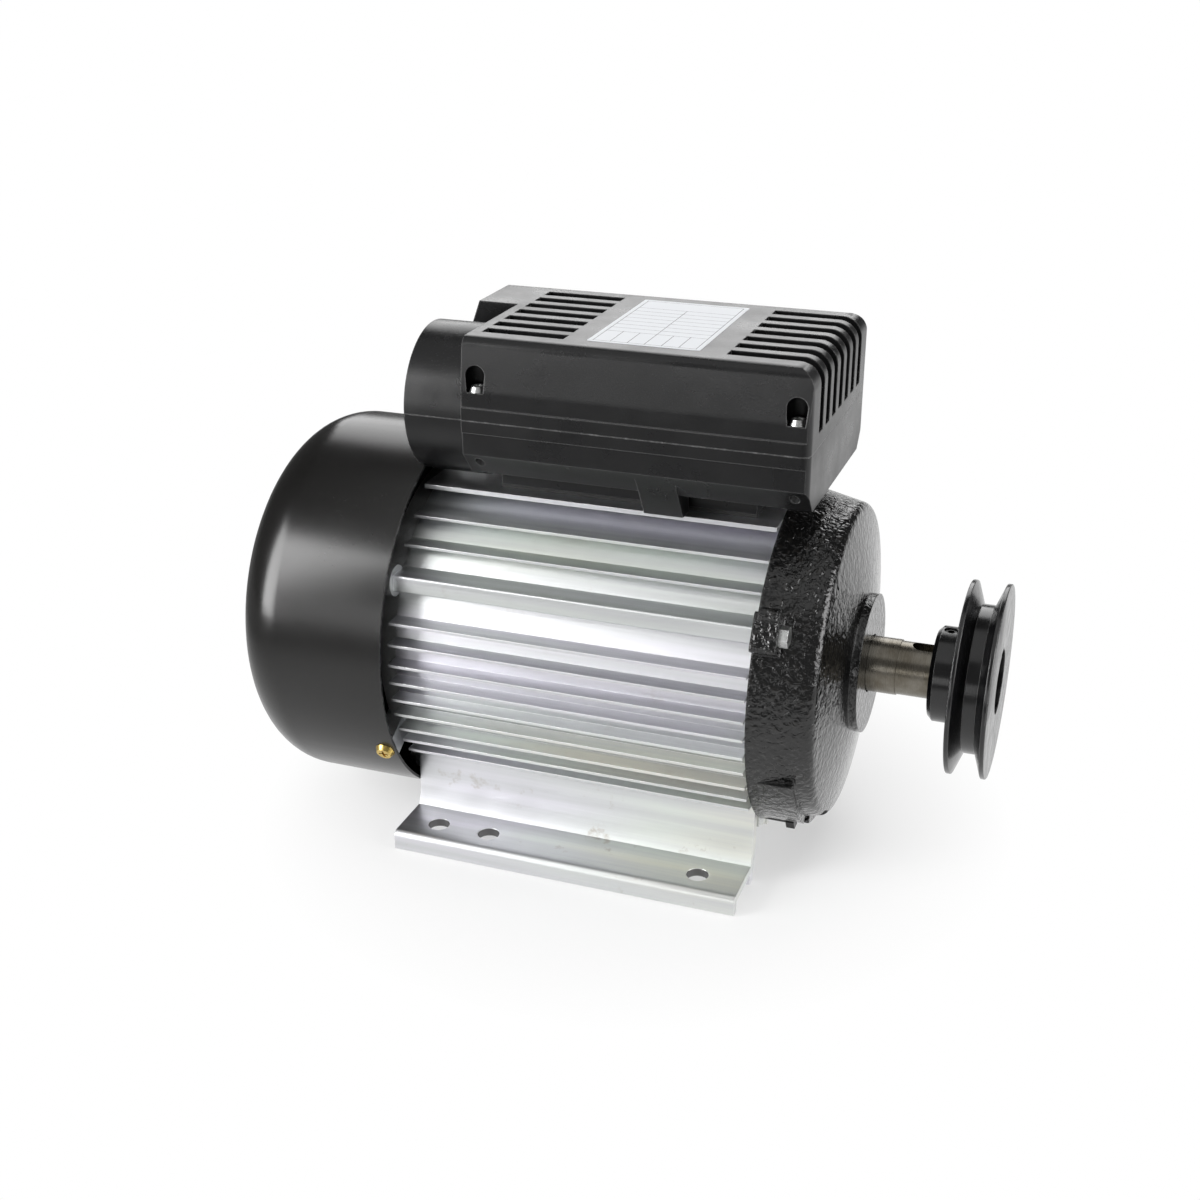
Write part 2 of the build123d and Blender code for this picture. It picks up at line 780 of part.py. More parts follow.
# Shaft: turned steel, stepped for the fan, both bearings, the rotor core and the pulley.
rear_bearing_front = rear_bearing_station + rear_bearing_width
key_front = shaft_end - key_end_margin
key_middle = key_front - key_length / 2
key_seat_height = shaft_height + shaft_radius - key_depth
keyway_middle = key_front - keyway_length / 2
with BuildPart() as shaft:
    add(turned(
        (shaft_tail_station - 3, 0), (shaft_tail_station - 3, shaft_tail_radius - shaft_chamfer),
        (shaft_tail_station - 2, shaft_tail_radius), (housing_rear - rear_hub_depth - 1, shaft_tail_radius),
        (housing_rear - rear_hub_depth - 1, rear_bearing_bore), (rear_bearing_front, rear_bearing_bore),
        (rear_bearing_front, shaft_body_radius), (front_bearing_station, shaft_body_radius),
        (front_bearing_station, front_bearing_bore), (shaft_step_station, front_bearing_bore),
        (shaft_step_station, shaft_radius), (shaft_end - shaft_chamfer, shaft_radius),
        (shaft_end, shaft_radius - shaft_chamfer), (shaft_end, 0)))
    with BuildSketch(level(key_seat_height)):
        with Locations((keyway_middle, 0)):
            SlotOverall(keyway_length, key_width)
    extrude(amount=shaft_radius, mode=Mode.SUBTRACT)
    add(tube(fan_rear - clip_thickness - running_clearance, fan_rear, shaft_tail_radius - clip_depth,
             shaft_body_radius), mode=Mode.SUBTRACT)
save(shaft, "shaft")

with BuildPart() as drive_key:
    with BuildSketch(level(key_seat_height)):
        with Locations((key_middle, 0)):
            SlotOverall(key_length - key_slack, key_width - key_slack)
    extrude(amount=key_height)
save(drive_key, "drive_key")


# Rolling bearings: two rings with ball tracks, a set of balls and two shields each.
def ball_sizes(bore, radius):
    """Radius of the ball circle and of one ball."""
    return (bore + radius) / 2, (radius - bore) * ball_share


def bearing(name, station, width, bore, radius):
    circle, ball = ball_sizes(bore, radius)
    ring_wall = (radius - bore) * ring_wall_share
    middle = station + width / 2
    with BuildPart() as track:
        with BuildSketch(Plane.XZ):
            with Locations((at(middle), shaft_height + circle)):
                Circle(ball + running_clearance)
        revolve(axis=shaft_axis)
    with BuildPart() as outer_ring:
        add(tube(station, station + width, radius - ring_wall, radius))
        add(track.part, mode=Mode.SUBTRACT)
    save(outer_ring, f"{name}_bearing_outer_ring")
    with BuildPart() as inner_ring:
        add(tube(station, station + width, bore + seat_clearance, bore + ring_wall))
        add(track.part, mode=Mode.SUBTRACT)
    save(inner_ring, f"{name}_bearing_inner_ring")
    with BuildPart() as balls:
        with Locations(across(middle)):
            with PolarLocations(circle, ball_count):
                Sphere(ball)
    save(balls, f"{name}_bearing_balls")
    with BuildPart() as shields:
        for face in (station + rest_gap, station + width - rest_gap - shield_thickness):
            add(tube(face, face + shield_thickness, bore + ring_wall + rest_gap,
                     radius - ring_wall - seat_clearance))
    save(shields, f"{name}_bearing_shields")


bearing("front", front_bearing_station, front_bearing_width, front_bearing_bore, front_bearing_radius)
bearing("rear", rear_bearing_station, rear_bearing_width, rear_bearing_bore, rear_bearing_radius)

# Wave washer that loads the rear bearing, and the lip seal where the shaft leaves.
with BuildPart() as wave_washer:
    add(tube(rear_seat_end + running_clearance, rear_bearing_station, rear_bearing_radius - washer_width,
             rear_bearing_radius - rest_gap))
save(wave_washer, "wave_washer")

seal_front = front_seat_end + seal_depth
seal_outer = seal_radius - running_clearance
with BuildPart() as shaft_seal:
    add(turned(
        (front_seat_end + running_clearance, seal_waist), (front_seat_end + running_clearance, seal_outer),
        (seal_front - running_clearance, seal_outer),
        (seal_front - running_clearance, front_bearing_bore + running_clearance),
        (seal_front - seal_lip, front_bearing_bore + running_clearance),
        (seal_front - seal_lip, seal_waist)))
save(shaft_seal, "shaft_seal")

# Rotor: laminated core with a cast aluminium cage, pressed on the shaft.
with BuildPart() as rotor_core:
    with BuildSketch(across(core_rear)):
        Circle(rotor_radius)
        Circle(shaft_body_radius + seat_clearance, mode=Mode.SUBTRACT)
        with PolarLocations(cage_bar_circle, cage_bars):
            Circle(cage_bar_radius, mode=Mode.SUBTRACT)
    extrude(amount=core_length)
save(rotor_core, "rotor_core")

with BuildPart() as rotor_cage:
    with BuildSketch(across(core_rear)):
        with PolarLocations(cage_bar_circle, cage_bars):
            Circle(cage_bar_radius - seat_clearance)
    extrude(amount=core_length)
    add(tube(core_rear - cage_ring, core_rear, cage_ring_bore, cage_ring_radius))
    add(tube(core_front, core_front + cage_ring, cage_ring_bore, cage_ring_radius))
save(rotor_cage, "rotor_cage")

# Centrifugal start switch: governor plate with hinged weights, sliding collar, board and contacts.
collar_bore = shaft_body_radius + running_clearance
pivot_spots = ((0, weight_pivot_radius), (0, -weight_pivot_radius))
ear_middle = weight_width / 2 + ear_gap + ear_thickness / 2
with BuildPart() as governor_plate_part:
    add(tube(governor_station, governor_station + governor_plate, shaft_body_radius + seat_clearance,
             governor_plate_radius))
    add(tube(governor_station + governor_plate, governor_station + governor_hub_length,
             shaft_body_radius + seat_clearance, governor_hub_radius))
    with BuildSketch(across(governor_station)):
        with Locations(*[(side * ear_middle, height) for side in (-1, 1) for _, height in pivot_spots]):
            Rectangle(ear_thickness, ear_height)
    extrude(amount=-ear_reach)
    for sign in (-1, 1):
        pin_line = Plane(origin=(at(weight_pivot_station), 0, shaft_height + sign * weight_pivot_radius),
                         x_dir=(1, 0, 0), z_dir=(0, 1, 0))
        with BuildSketch(pin_line):
            Circle(pivot_pin_radius + seat_clearance)
        extrude(amount=weight_width, both=True, mode=Mode.SUBTRACT)
save(governor_plate_part, "governor_plate")

with BuildPart() as governor_pins:
    for sign in (-1, 1):
        pin_line = Plane(origin=(at(weight_pivot_station), 0, shaft_height + sign * weight_pivot_radius),
                         x_dir=(1, 0, 0), z_dir=(0, 1, 0))
        with BuildSketch(pin_line):
            Circle(pivot_pin_radius)
        extrude(amount=ear_middle + ear_thickness / 2, both=True)
save(governor_pins, "governor_pins")

for name, sign in (("upper_weight", 1), ("lower_weight", -1)):
    with BuildPart() as weight:
        with BuildSketch(Plane.XZ):
            with Locations((at((weight_rear + weight_front) / 2),
                            shaft_height + sign * (weight_inner + weight_outer) / 2)):
                RectangleRounded(weight_front - weight_rear, weight_outer - weight_inner, weight_round)
            with Locations((at(weight_pivot_station), shaft_height + sign * weight_pivot_radius)):
                Circle(pivot_pin_radius + running_clearance, mode=Mode.SUBTRACT)
        extrude(amount=weight_width / 2, both=True)
    save(weight, name)

with BuildPart() as switch_collar:
    add(tube(collar_station, collar_station + collar_length, collar_bore, collar_bore + collar_wall))
    add(tube(collar_station, collar_station + collar_flange_depth, collar_bore, collar_flange))
save(switch_collar, "switch_collar")

board_face = hub_face + switch_board_thickness
arm_side, arm_width, arm_height, arm_thickness = contact_arm
point_side, point_radius, point_height = contact_point
with BuildPart() as switch_board:
    with BuildSketch(across(hub_face)):
        Circle(switch_board_radius)
        Circle(collar_flange + switch_board_gap, mode=Mode.SUBTRACT)
        with Locations((0, -switch_board_radius)):
            Rectangle(2 * switch_board_radius, 2 * (switch_board_radius - switch_board_drop),
                      mode=Mode.SUBTRACT)
    extrude(amount=switch_board_thickness)
save(switch_board, "switch_board")

with BuildPart() as switch_contacts:
    for side in (-1, 1):
        with BuildSketch(across(board_face)):
            with Locations((side * arm_side, contact_rise)):
                Rectangle(arm_width, arm_height)
        extrude(amount=arm_thickness)
        with BuildSketch(across(board_face)):
            with Locations((side * point_side, contact_rise)):
                Circle(point_radius)
        extrude(amount=point_height)
save(switch_contacts, "switch_contacts")

# Cooling fan: moulded hub and disc with straight radial blades, for either direction of turning.
fan_blade_root = fan_hub_radius - 1
with BuildPart() as fan_blade:
    with BuildSketch(Plane.XZ):
        with BuildLine():
            blade_rear = fan_front - fan_disc_thickness - fan_blade_depth
            blade_front = fan_front - fan_disc_thickness
            Polyline(*[(at(s), shaft_height + r) for s, r in (
                (blade_rear + fan_blade_slope, fan_blade_root), (blade_front + 1, fan_blade_root),
                (blade_front + 1, fan_disc_radius - 2), (blade_front, fan_disc_radius),
                (blade_front - fan_blade_slope, fan_radius), (blade_rear, fan_radius),
                (blade_rear, fan_radius - 2 * fan_blade_slope))], close=True)
        make_face()
    extrude(amount=fan_blade_thickness / 2, both=True)
with BuildPart() as cooling_fan:
    add(tube(fan_rear, fan_front, shaft_tail_radius + seat_clearance, fan_hub_radius))
    add(tube(blade_front, fan_front, shaft_tail_radius + seat_clearance, fan_disc_radius))
    for turn in range(fan_blades):
        add(fan_blade.part.rotate(shaft_axis, turn * 360 / fan_blades))
save(cooling_fan, "cooling_fan")

with BuildPart() as fan_clip:
    with BuildSketch(across(fan_rear - clip_thickness)):
        Circle(shaft_tail_radius + clip_reach)
        Circle(shaft_tail_radius - clip_depth + seat_clearance, mode=Mode.SUBTRACT)
        with Locations((0, -shaft_tail_radius)):
            Rectangle(clip_mouth, shaft_tail_radius, mode=Mode.SUBTRACT)
    extrude(amount=clip_thickness)
save(fan_clip, "fan_clip")

# Pulley: one V groove, a hub behind it with two set screws, a keyed bore and a recess in front.
pulley_middle = (pulley_rear + pulley_front) / 2
hub_screw_station = (pulley_hub_rear + pulley_rear) / 2
hub_screw_lines = [
    Plane(origin=(at(hub_screw_station), 0, shaft_height), x_dir=(1, 0, 0), z_dir=direction)
    for direction in ((0, 0, 1), (0, 1, 0))
]
with BuildPart() as pulley:
    add(turned(
        (pulley_hub_rear, shaft_radius + seat_clearance),
        (pulley_hub_rear, pulley_hub_radius - pulley_hub_chamfer),
        (pulley_hub_rear + pulley_hub_chamfer, pulley_hub_radius), (pulley_rear, pulley_hub_radius),
        (pulley_rear, pulley_radius), (pulley_rear + pulley_tip, pulley_radius),
        (pulley_middle - pulley_root_width / 2, pulley_root_radius),
        (pulley_middle + pulley_root_width / 2, pulley_root_radius),
        (pulley_front - pulley_tip, pulley_radius), (pulley_front, pulley_radius),
        (pulley_front, pulley_counterbore), (shaft_end + rest_gap, pulley_counterbore),
        (shaft_end + rest_gap, shaft_radius + seat_clearance)))
    fillet(edges().filter_by(GeomType.CIRCLE).filter_by(lambda e: e.radius > pulley_radius - rest_gap),
           pulley_tip_round)
    with BuildSketch(across(pulley_hub_rear)):
        with Locations((0, key_seat_height + key_height / 2 + key_slack - shaft_height)):
            Rectangle(key_width, key_height + 2 * key_slack)
    extrude(amount=pulley_front - pulley_hub_rear, mode=Mode.SUBTRACT)
    for line in hub_screw_lines:
        with BuildSketch(line):
            Circle(set_screw_radius + seat_clearance)
        extrude(amount=pulley_hub_radius, mode=Mode.SUBTRACT)
save(pulley, "pulley")

key_top = key_seat_height + key_height - shaft_height
with BuildPart() as set_screws:
    for line, foot in zip(hub_screw_lines, (key_top, shaft_radius)):
        with BuildSketch(line.offset(foot)):
            Circle(set_screw_radius)
        extrude(amount=set_screw_length)
        with BuildSketch(line.offset(foot + set_screw_length)):
            RegularPolygon(set_screw_radius / 2, 6, major_radius=False)
        extrude(amount=-set_screw_length / 2, mode=Mode.SUBTRACT)
save(set_screws, "set_screws")


# Terminal box: a moulded case split at one level into base and lid. It has a square body, a drum
# for the start capacitor and a wing beside it.
def case_level(rise):
    """Height of a level of the terminal box."""
    return table_top + rise


def case_outline(inset, roof_inset, banded):
    """Half of the case's section, from floor to roof."""
    band = [(case_wall_half, case_band_low), (case_band_half, case_band_low),
            (case_band_half, case_band_high), (case_wall_half, case_band_high)]
    middle = band if banded else []
    points = [(case_floor_half, case_floor + inset), (case_wall_half, case_chamfer + inset / 3)]
    points += middle + [(case_wall_half, case_bend), (case_top_half, case_top - roof_inset)]
    return [(y - inset, case_level(z)) for y, z in points]


def prism(half, rear, front, top_round):
    """Both halves of a section with rounded roof edges, extruded along the motor."""
    with BuildPart() as made:
        with BuildSketch(across_ground(rear)):
            with BuildLine():
                Polyline(*half, *[(-y, z) for y, z in reversed(half)], close=True)
            make_face()
            fillet(vertices().group_by(Axis.Y)[-1], top_round)
        extrude(amount=front - rear)
    return made.part


def case_solid(inset, roof_inset, banded):
    """Whole case, grown inwards by a wall for its hollow."""
    half = case_outline(inset, roof_inset, banded)
    roof = case_level(case_top - roof_inset)
    floor = case_level(case_floor + inset)
    front = case_front - inset
    with BuildPart() as body:
        add(prism(half, case_rear + inset, front, case_side_round - inset))
        with BuildSketch(Plane.XZ):
            with Locations((at((case_rear + front) / 2), (roof + floor) / 2)):
                Rectangle(front - case_rear, roof - floor)
            fillet(vertices().sort_by_distance((at(front), roof))[0], case_front_round - inset)
        extrude(amount=case_band_half, both=True, mode=Mode.INTERSECT)
        with BuildSketch(level(floor)):
            with Locations(((case_rear + front) / 2, 0)):
                Rectangle(front - case_rear, 2 * (case_band_half - inset))
            fillet(vertices().group_by(Axis.X)[-1], case_corner_round)
        extrude(amount=case_top, mode=Mode.INTERSECT)
    wing_front = case_rear + max(inset, case_wall)
    with BuildPart() as wing:
        add(prism(half, drum_rear + inset, wing_front, case_side_round - inset))
        split(bisect_by=Plane.XZ.offset(-case_wing_side - inset), keep=Keep.BOTTOM)
        with BuildSketch(Plane.XZ):
            with BuildLine():
                rear = drum_rear + inset
                Polyline(*[(at(s), z) for s, z in (
                    (rear, floor), (wing_front, floor), (wing_front, roof), (rear + case_wing_lean, roof),
                    (rear, case_level(case_bend)))], close=True)
            make_face()
        extrude(amount=case_band_half, both=True, mode=Mode.INTERSECT)
    with BuildPart() as made:
        add(body.part)
        add(wing.part)
        with BuildSketch(Plane(origin=(at(drum_rear + inset), drum_side, case_level(case_parting)),
                               x_dir=(0, 1, 0), z_dir=(1, 0, 0))):
            Circle(drum_radius - inset)
        extrude(amount=wing_front - drum_rear - inset)
    return made.part


parting_plane = Plane.XY.offset(case_level(case_parting))
case_outer = case_solid(0, 0, True)
case_screw_spots = [(s, side * case_screw_side) for s in case_screw_stations for side in (-1, 1)]
with BuildPart() as case_hollow:
    add(case_solid(case_wall, case_roof, False))
    with BuildSketch(level(case_level(case_floor))):
        with Locations(*case_screw_spots):
            Circle(case_column_radius)
    extrude(amount=case_top, mode=Mode.SUBTRACT)

gland_pad_top = case_parting - seal_height - rest_gap
vent_sides = [(index - (vent_count - 1) / 2) * vent_pitch for index in range(vent_count)]
with BuildPart() as terminal_box_lid:
    add(split(case_outer, bisect_by=parting_plane, keep=Keep.TOP, mode=Mode.PRIVATE))
    add(case_hollow.part, mode=Mode.SUBTRACT)
    with BuildSketch(level(case_level(case_pocket_floor))):
        with Locations(*case_screw_spots):
            Circle(case_pocket_radius)
    extrude(amount=case_pocket_height, mode=Mode.SUBTRACT)
    with Locations(level(case_level(case_pocket_floor + case_pocket_height))):
        with Locations(*case_screw_spots):
            Sphere(case_pocket_radius, mode=Mode.SUBTRACT)
    with BuildSketch(level(case_level(case_parting))):
        with Locations(*case_screw_spots):
            Circle(case_screw_radius + seat_clearance)
    extrude(amount=case_pocket_floor - case_parting, mode=Mode.SUBTRACT)
    for side in vent_sides:
        with BuildSketch(Plane.XZ.offset(-side)):
            vent_middle = at(rear_vent_start + rear_vent_length / 2)
            with Locations((vent_middle, case_level(case_top - vent_depth / 2))):
                Rectangle(rear_vent_length, vent_depth)
            with BuildLine():
                inner, outer = at(case_front - vent_depth), at(case_front)
                start, low = at(front_vent_start), case_level(front_vent_low)
                floor, roof = case_level(case_top - vent_depth), case_level(case_top)
                bend = case_front_round - vent_depth
                Polyline((inner - bend, floor), (start, floor), (start, roof), (outer, roof), (outer, low),
                         (inner, low), (inner, floor - bend))
                RadiusArc((inner, floor - bend), (inner - bend, floor), -bend)
            make_face()
        extrude(amount=vent_width / 2, both=True, mode=Mode.SUBTRACT)
save(terminal_box_lid, "terminal_box_lid")

gland_plane = Plane(origin=(at(gland_station), case_band_half, case_level(gland_height)),
                    x_dir=(1, 0, 0), z_dir=(0, 1, 0))
with BuildPart() as terminal_box_base:
    add(split(case_outer, bisect_by=parting_plane, keep=Keep.BOTTOM, mode=Mode.PRIVATE))
    with BuildSketch(level(table_top + gasket_thickness)):
        with Locations((pedestal_middle, 0)):
            Rectangle(pedestal_length, 2 * pedestal_half)
    extrude(amount=case_floor - gasket_thickness + case_wall)
    add(case_hollow.part, mode=Mode.SUBTRACT)
    with BuildSketch(gland_plane):
        with Locations((0, gland_height - (case_floor + gland_pad_top) / 2)):
            Rectangle(gland_pad, gland_pad_top - case_floor)
    extrude(amount=-gland_pad_depth)
    with BuildSketch(level(table_top + gasket_thickness + pedestal_floor)):
        with Locations((pedestal_middle, 0)):
            Rectangle(pedestal_length - 2 * case_wall, 2 * (pedestal_half - case_wall))
    extrude(amount=case_floor, mode=Mode.SUBTRACT)
    for side in (-1, 1):
        with BuildSketch(across_ground(leg_rear)):
            with BuildLine():
                Polyline(*[(side * y, case_level(z)) for y, z in (
                    (case_wall_half, leg_top), (leg_toe, 0), (leg_heel, 0),
                    (leg_heel, case_floor + case_wall / 2), (case_floor_half, case_floor + case_wall / 2),
                    (case_wall_half - case_wall / 2, case_chamfer))], close=True)
            make_face()
        extrude(amount=leg_length)
    with BuildSketch(level(case_level(case_parting))):
        with Locations(*case_screw_spots):
            Circle(case_screw_radius + seat_clearance)
    extrude(amount=-case_screw_length, mode=Mode.SUBTRACT)
    with BuildSketch(level(table_top + gasket_thickness)):
        with Locations((lead_hole_station, 0)):
            Circle(lead_hole_radius)
        with Locations(*pedestal_spots):
            Circle(pedestal_screw_radius + bolt_clearance)
    extrude(amount=pedestal_floor, mode=Mode.SUBTRACT)
    with BuildSketch(gland_plane):
        Circle(gland_thread + seat_clearance)
    extrude(amount=-case_band_half, mode=Mode.SUBTRACT)
save(terminal_box_base, "terminal_box_base")


# Fasteners that stand upright: pan heads for the lid and for the pedestal.
def pan_screws(height, spots, head, crown, radius, length):
    with BuildPart() as made:
        with BuildSketch(level(height)):
            with Locations(*spots):
                Circle(head)
        extrude(amount=crown, taper=pan_dome)
        with BuildSketch(level(height)):
            with Locations(*spots):
                Circle(radius)
        extrude(amount=-length)
        with BuildSketch(level(height + crown)):
            with Locations(*spots):
                Rectangle(head, cross_width)
                Rectangle(cross_width, head)
        extrude(amount=-crown / 2, mode=Mode.SUBTRACT)
    return made


lid_screws = pan_screws(case_level(case_pocket_floor), case_screw_spots, case_screw_head,
                        case_screw_crown, case_screw_radius, case_screw_length)
save(lid_screws, "lid_screws")
base_screws = pan_screws(table_top + gasket_thickness + pedestal_floor, pedestal_spots,
                         pedestal_screw_head, pedestal_screw_crown, pedestal_screw_radius,
                         pedestal_screw_length)
save(base_screws, "base_screws")

# Gasket between the pedestal and the housing, and the grommet that lines the lead hole.
with BuildPart() as base_gasket:
    with BuildSketch(level(table_top)):
        with Locations((pedestal_middle, 0)):
            Rectangle(pedestal_length, 2 * pedestal_half)
        with Locations((lead_hole_station, 0)):
            Circle(lead_hole_radius, mode=Mode.SUBTRACT)
        with Locations(*pedestal_spots):
            Circle(pedestal_screw_radius + bolt_clearance, mode=Mode.SUBTRACT)
    extrude(amount=gasket_thickness)
save(base_gasket, "base_gasket")

grommet_top = table_top + gasket_thickness + pedestal_floor
with BuildPart() as lead_grommet:
    with BuildSketch(level(table_top - table_thickness)):
        with Locations((lead_hole_station, 0)):
            Circle(lead_hole_radius - running_clearance)
    extrude(amount=grommet_top - table_top + table_thickness)
    with BuildSketch(level(grommet_top)):
        with Locations((lead_hole_station, 0)):
            Circle(lead_hole_radius + grommet_lip)
    extrude(amount=grommet_lip_height)
    with BuildSketch(level(table_top - table_thickness)):
        with Locations((lead_hole_station, 0)):
            Circle(lead_hole_radius - grommet_wall)
    extrude(amount=case_floor, mode=Mode.SUBTRACT)
save(lead_grommet, "lead_grommet")

# Seal between lid and base: a rubber band that follows the inside of the case and its columns.
def case_band(inset, column):
    """Slab of the case's inner outline at the parting, cut round the screw columns."""
    with BuildPart() as made:
        add(case_solid(inset, case_roof, False))
        with BuildSketch(level(case_level(case_parting) - seal_height)):
            with Locations(((case_rear + case_front) / 2, 0)):
                Rectangle(2 * (case_front - case_rear), 4 * case_band_half)
        extrude(amount=2 * seal_height, mode=Mode.INTERSECT)
        with BuildSketch(level(case_level(case_parting) - seal_height)):
            with Locations(*case_screw_spots):
                Circle(column)
        extrude(amount=2 * seal_height, mode=Mode.SUBTRACT)
    return made.part


with BuildPart() as lid_seal:
    add(case_band(case_wall + seal_gap, case_column_radius + seal_gap))
    add(case_band(case_wall + seal_gap + seal_thickness, case_column_radius + seal_gap + seal_thickness),
        mode=Mode.SUBTRACT)
save(lid_seal, "lid_seal")


# Capacitors: sealed cans along the motor, with crimped ends and a pair of flat tabs.
def capacitor(rear, can_length, side, height, radius):
    plane = Plane(origin=(at(rear), side, height), x_dir=(0, 1, 0), z_dir=(1, 0, 0))
    with BuildPart() as made:
        with BuildSketch(plane):
            Circle(radius)
        extrude(amount=can_length)
        fillet(edges().filter_by(GeomType.CIRCLE), capacitor_round)
        thickness, width, length = capacitor_tab
        with BuildSketch(plane.offset(can_length)):
            with Locations((0, radius / 2), (0, -radius / 2)):
                Rectangle(width, thickness)
        extrude(amount=length)
    return made


case_floor_level = case_level(case_floor) + case_wall
start_height = case_floor_level + rest_gap + start_capacitor_radius
start_capacitor_rear = drum_rear + case_wall + seal_gap + seal_thickness + rest_gap
start_capacitor_part = capacitor(start_capacitor_rear, start_capacitor_length, drum_side,
                                 start_height, start_capacitor_radius)
save(start_capacitor_part, "start_capacitor")
run_height = case_floor_level + rest_gap + run_capacitor_radius
run_capacitor_part = capacitor(case_rear + run_capacitor_setback, run_capacitor_length,
                               run_capacitor_side, run_height, run_capacitor_radius)
save(run_capacitor_part, "run_capacitor")

# Steel strap that ties the start capacitor down on the floor of the box.
strap_inner = start_capacitor_radius + running_clearance
strap_drop = start_height - case_floor_level
with BuildPart() as capacitor_strap:
    strap_plane = Plane(origin=(at(case_rear + strap_setback), drum_side, start_height),
                        x_dir=(0, 1, 0), z_dir=(1, 0, 0))
    with BuildSketch(strap_plane):
        Circle(strap_inner + strap_thickness)
        Circle(strap_inner, mode=Mode.SUBTRACT)
        with Locations((0, -strap_drop)):
            Rectangle(3 * strap_drop, 2 * strap_drop, mode=Mode.SUBTRACT)
        with Locations(*[(side * (strap_inner + strap_thickness / 2), -strap_drop / 2) for side in (-1, 1)]):
            Rectangle(strap_thickness, strap_drop)
        with Locations((strap_inner + strap_foot / 2, -strap_drop + strap_thickness / 2)):
            Rectangle(strap_foot, strap_thickness)
    extrude(amount=strap_width)
save(capacitor_strap, "capacitor_strap")

# Terminal board on two ribs, with brass studs and nuts in two rows.
board_middle = case_front - board_setback - board_length / 2
board_bottom = case_floor_level + board_rise
stud_spots = [(board_middle + row, (index - (stud_rows - 1) / 2) * stud_pitch)
              for row in (-stud_row_gap / 2, stud_row_gap / 2) for index in range(stud_rows)]
with BuildPart() as terminal_board:
    with BuildSketch(level(board_bottom)):
        with Locations((board_middle, 0)):
            Rectangle(board_length, 2 * board_half)
        with Locations(*stud_spots):
            Circle(stud_radius + seat_clearance, mode=Mode.SUBTRACT)
    extrude(amount=board_thickness)
    with BuildSketch(level(board_bottom)):
        with Locations(*[(board_middle, side * (board_half - board_rib / 2)) for side in (-1, 1)]):
            Rectangle(board_length, board_rib)
    extrude(amount=-board_rise)
    with BuildSketch(level(board_bottom + board_thickness)):
        with Locations((board_middle, 0)):
            Rectangle(board_rib / 2, 2 * board_half)
    extrude(amount=board_rise)
save(terminal_board, "terminal_board")

board_face_level = board_bottom + board_thickness
with BuildPart() as terminal_studs:
    with BuildSketch(level(board_bottom)):
        with Locations(*stud_spots):
            Circle(stud_radius)
    extrude(amount=stud_length)
save(terminal_studs, "terminal_studs")
with BuildPart() as terminal_nuts:
    with BuildSketch(level(board_face_level)):
        with Locations(*stud_spots):
            RegularPolygon(nut_flats / 2, 6, major_radius=False)
        with Locations(*stud_spots):
            Circle(stud_radius + seat_clearance, mode=Mode.SUBTRACT)
    extrude(amount=nut_height)
save(terminal_nuts, "terminal_nuts")

# Cable gland on the back: body through the wall, lock nut inside, cap nut and rubber seal.
with BuildPart() as gland_body:
    with BuildSketch(gland_plane):
        RegularPolygon(gland_flats / 2, 6, major_radius=False)
    extrude(amount=gland_flange)
    with BuildSketch(gland_plane.offset(gland_flange)):
        Circle(gland_neck_radius)
    extrude(amount=gland_neck)
    with BuildSketch(gland_plane):
        Circle(gland_thread)
    extrude(amount=-gland_thread_length)
    with BuildSketch(gland_plane.offset(-gland_thread_length)):
        Circle(gland_mouth + gland_seal_wall)
    extrude(amount=gland_thread_length + gland_flange + gland_neck, mode=Mode.SUBTRACT)
save(gland_body, "gland_body")

with BuildPart() as gland_cap:
    with BuildSketch(gland_plane.offset(gland_flange + rest_gap)):
        RegularPolygon(gland_cap_flats / 2, 6, major_radius=False)
    extrude(amount=gland_neck)
    with BuildSketch(gland_plane.offset(gland_flange + rest_gap + gland_neck)):
        Circle(gland_dome_radius)
    extrude(amount=gland_cap_length - gland_neck, taper=gland_dome)
    with BuildSketch(gland_plane.offset(gland_flange + rest_gap)):
        Circle(gland_neck_radius + seat_clearance)
    extrude(amount=gland_neck + running_clearance, mode=Mode.SUBTRACT)
    with BuildSketch(gland_plane.offset(gland_flange)):
        Circle(gland_mouth)
    extrude(amount=2 * gland_cap_length, mode=Mode.SUBTRACT)
save(gland_cap, "gland_cap")

with BuildPart() as gland_seal:
    with BuildSketch(gland_plane.offset(-gland_seal_depth)):
        Circle(gland_mouth + gland_seal_wall - seat_clearance)
        Circle(gland_mouth, mode=Mode.SUBTRACT)
    extrude(amount=gland_flange + gland_neck)
save(gland_seal, "gland_seal")

with BuildPart() as gland_locknut:
    with BuildSketch(gland_plane.offset(-gland_pad_depth)):
        RegularPolygon(gland_flats / 2, 6, major_radius=False)
        Circle(gland_thread + seat_clearance, mode=Mode.SUBTRACT)
    extrude(amount=-locknut_height)
save(gland_locknut, "gland_locknut")
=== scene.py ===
import math

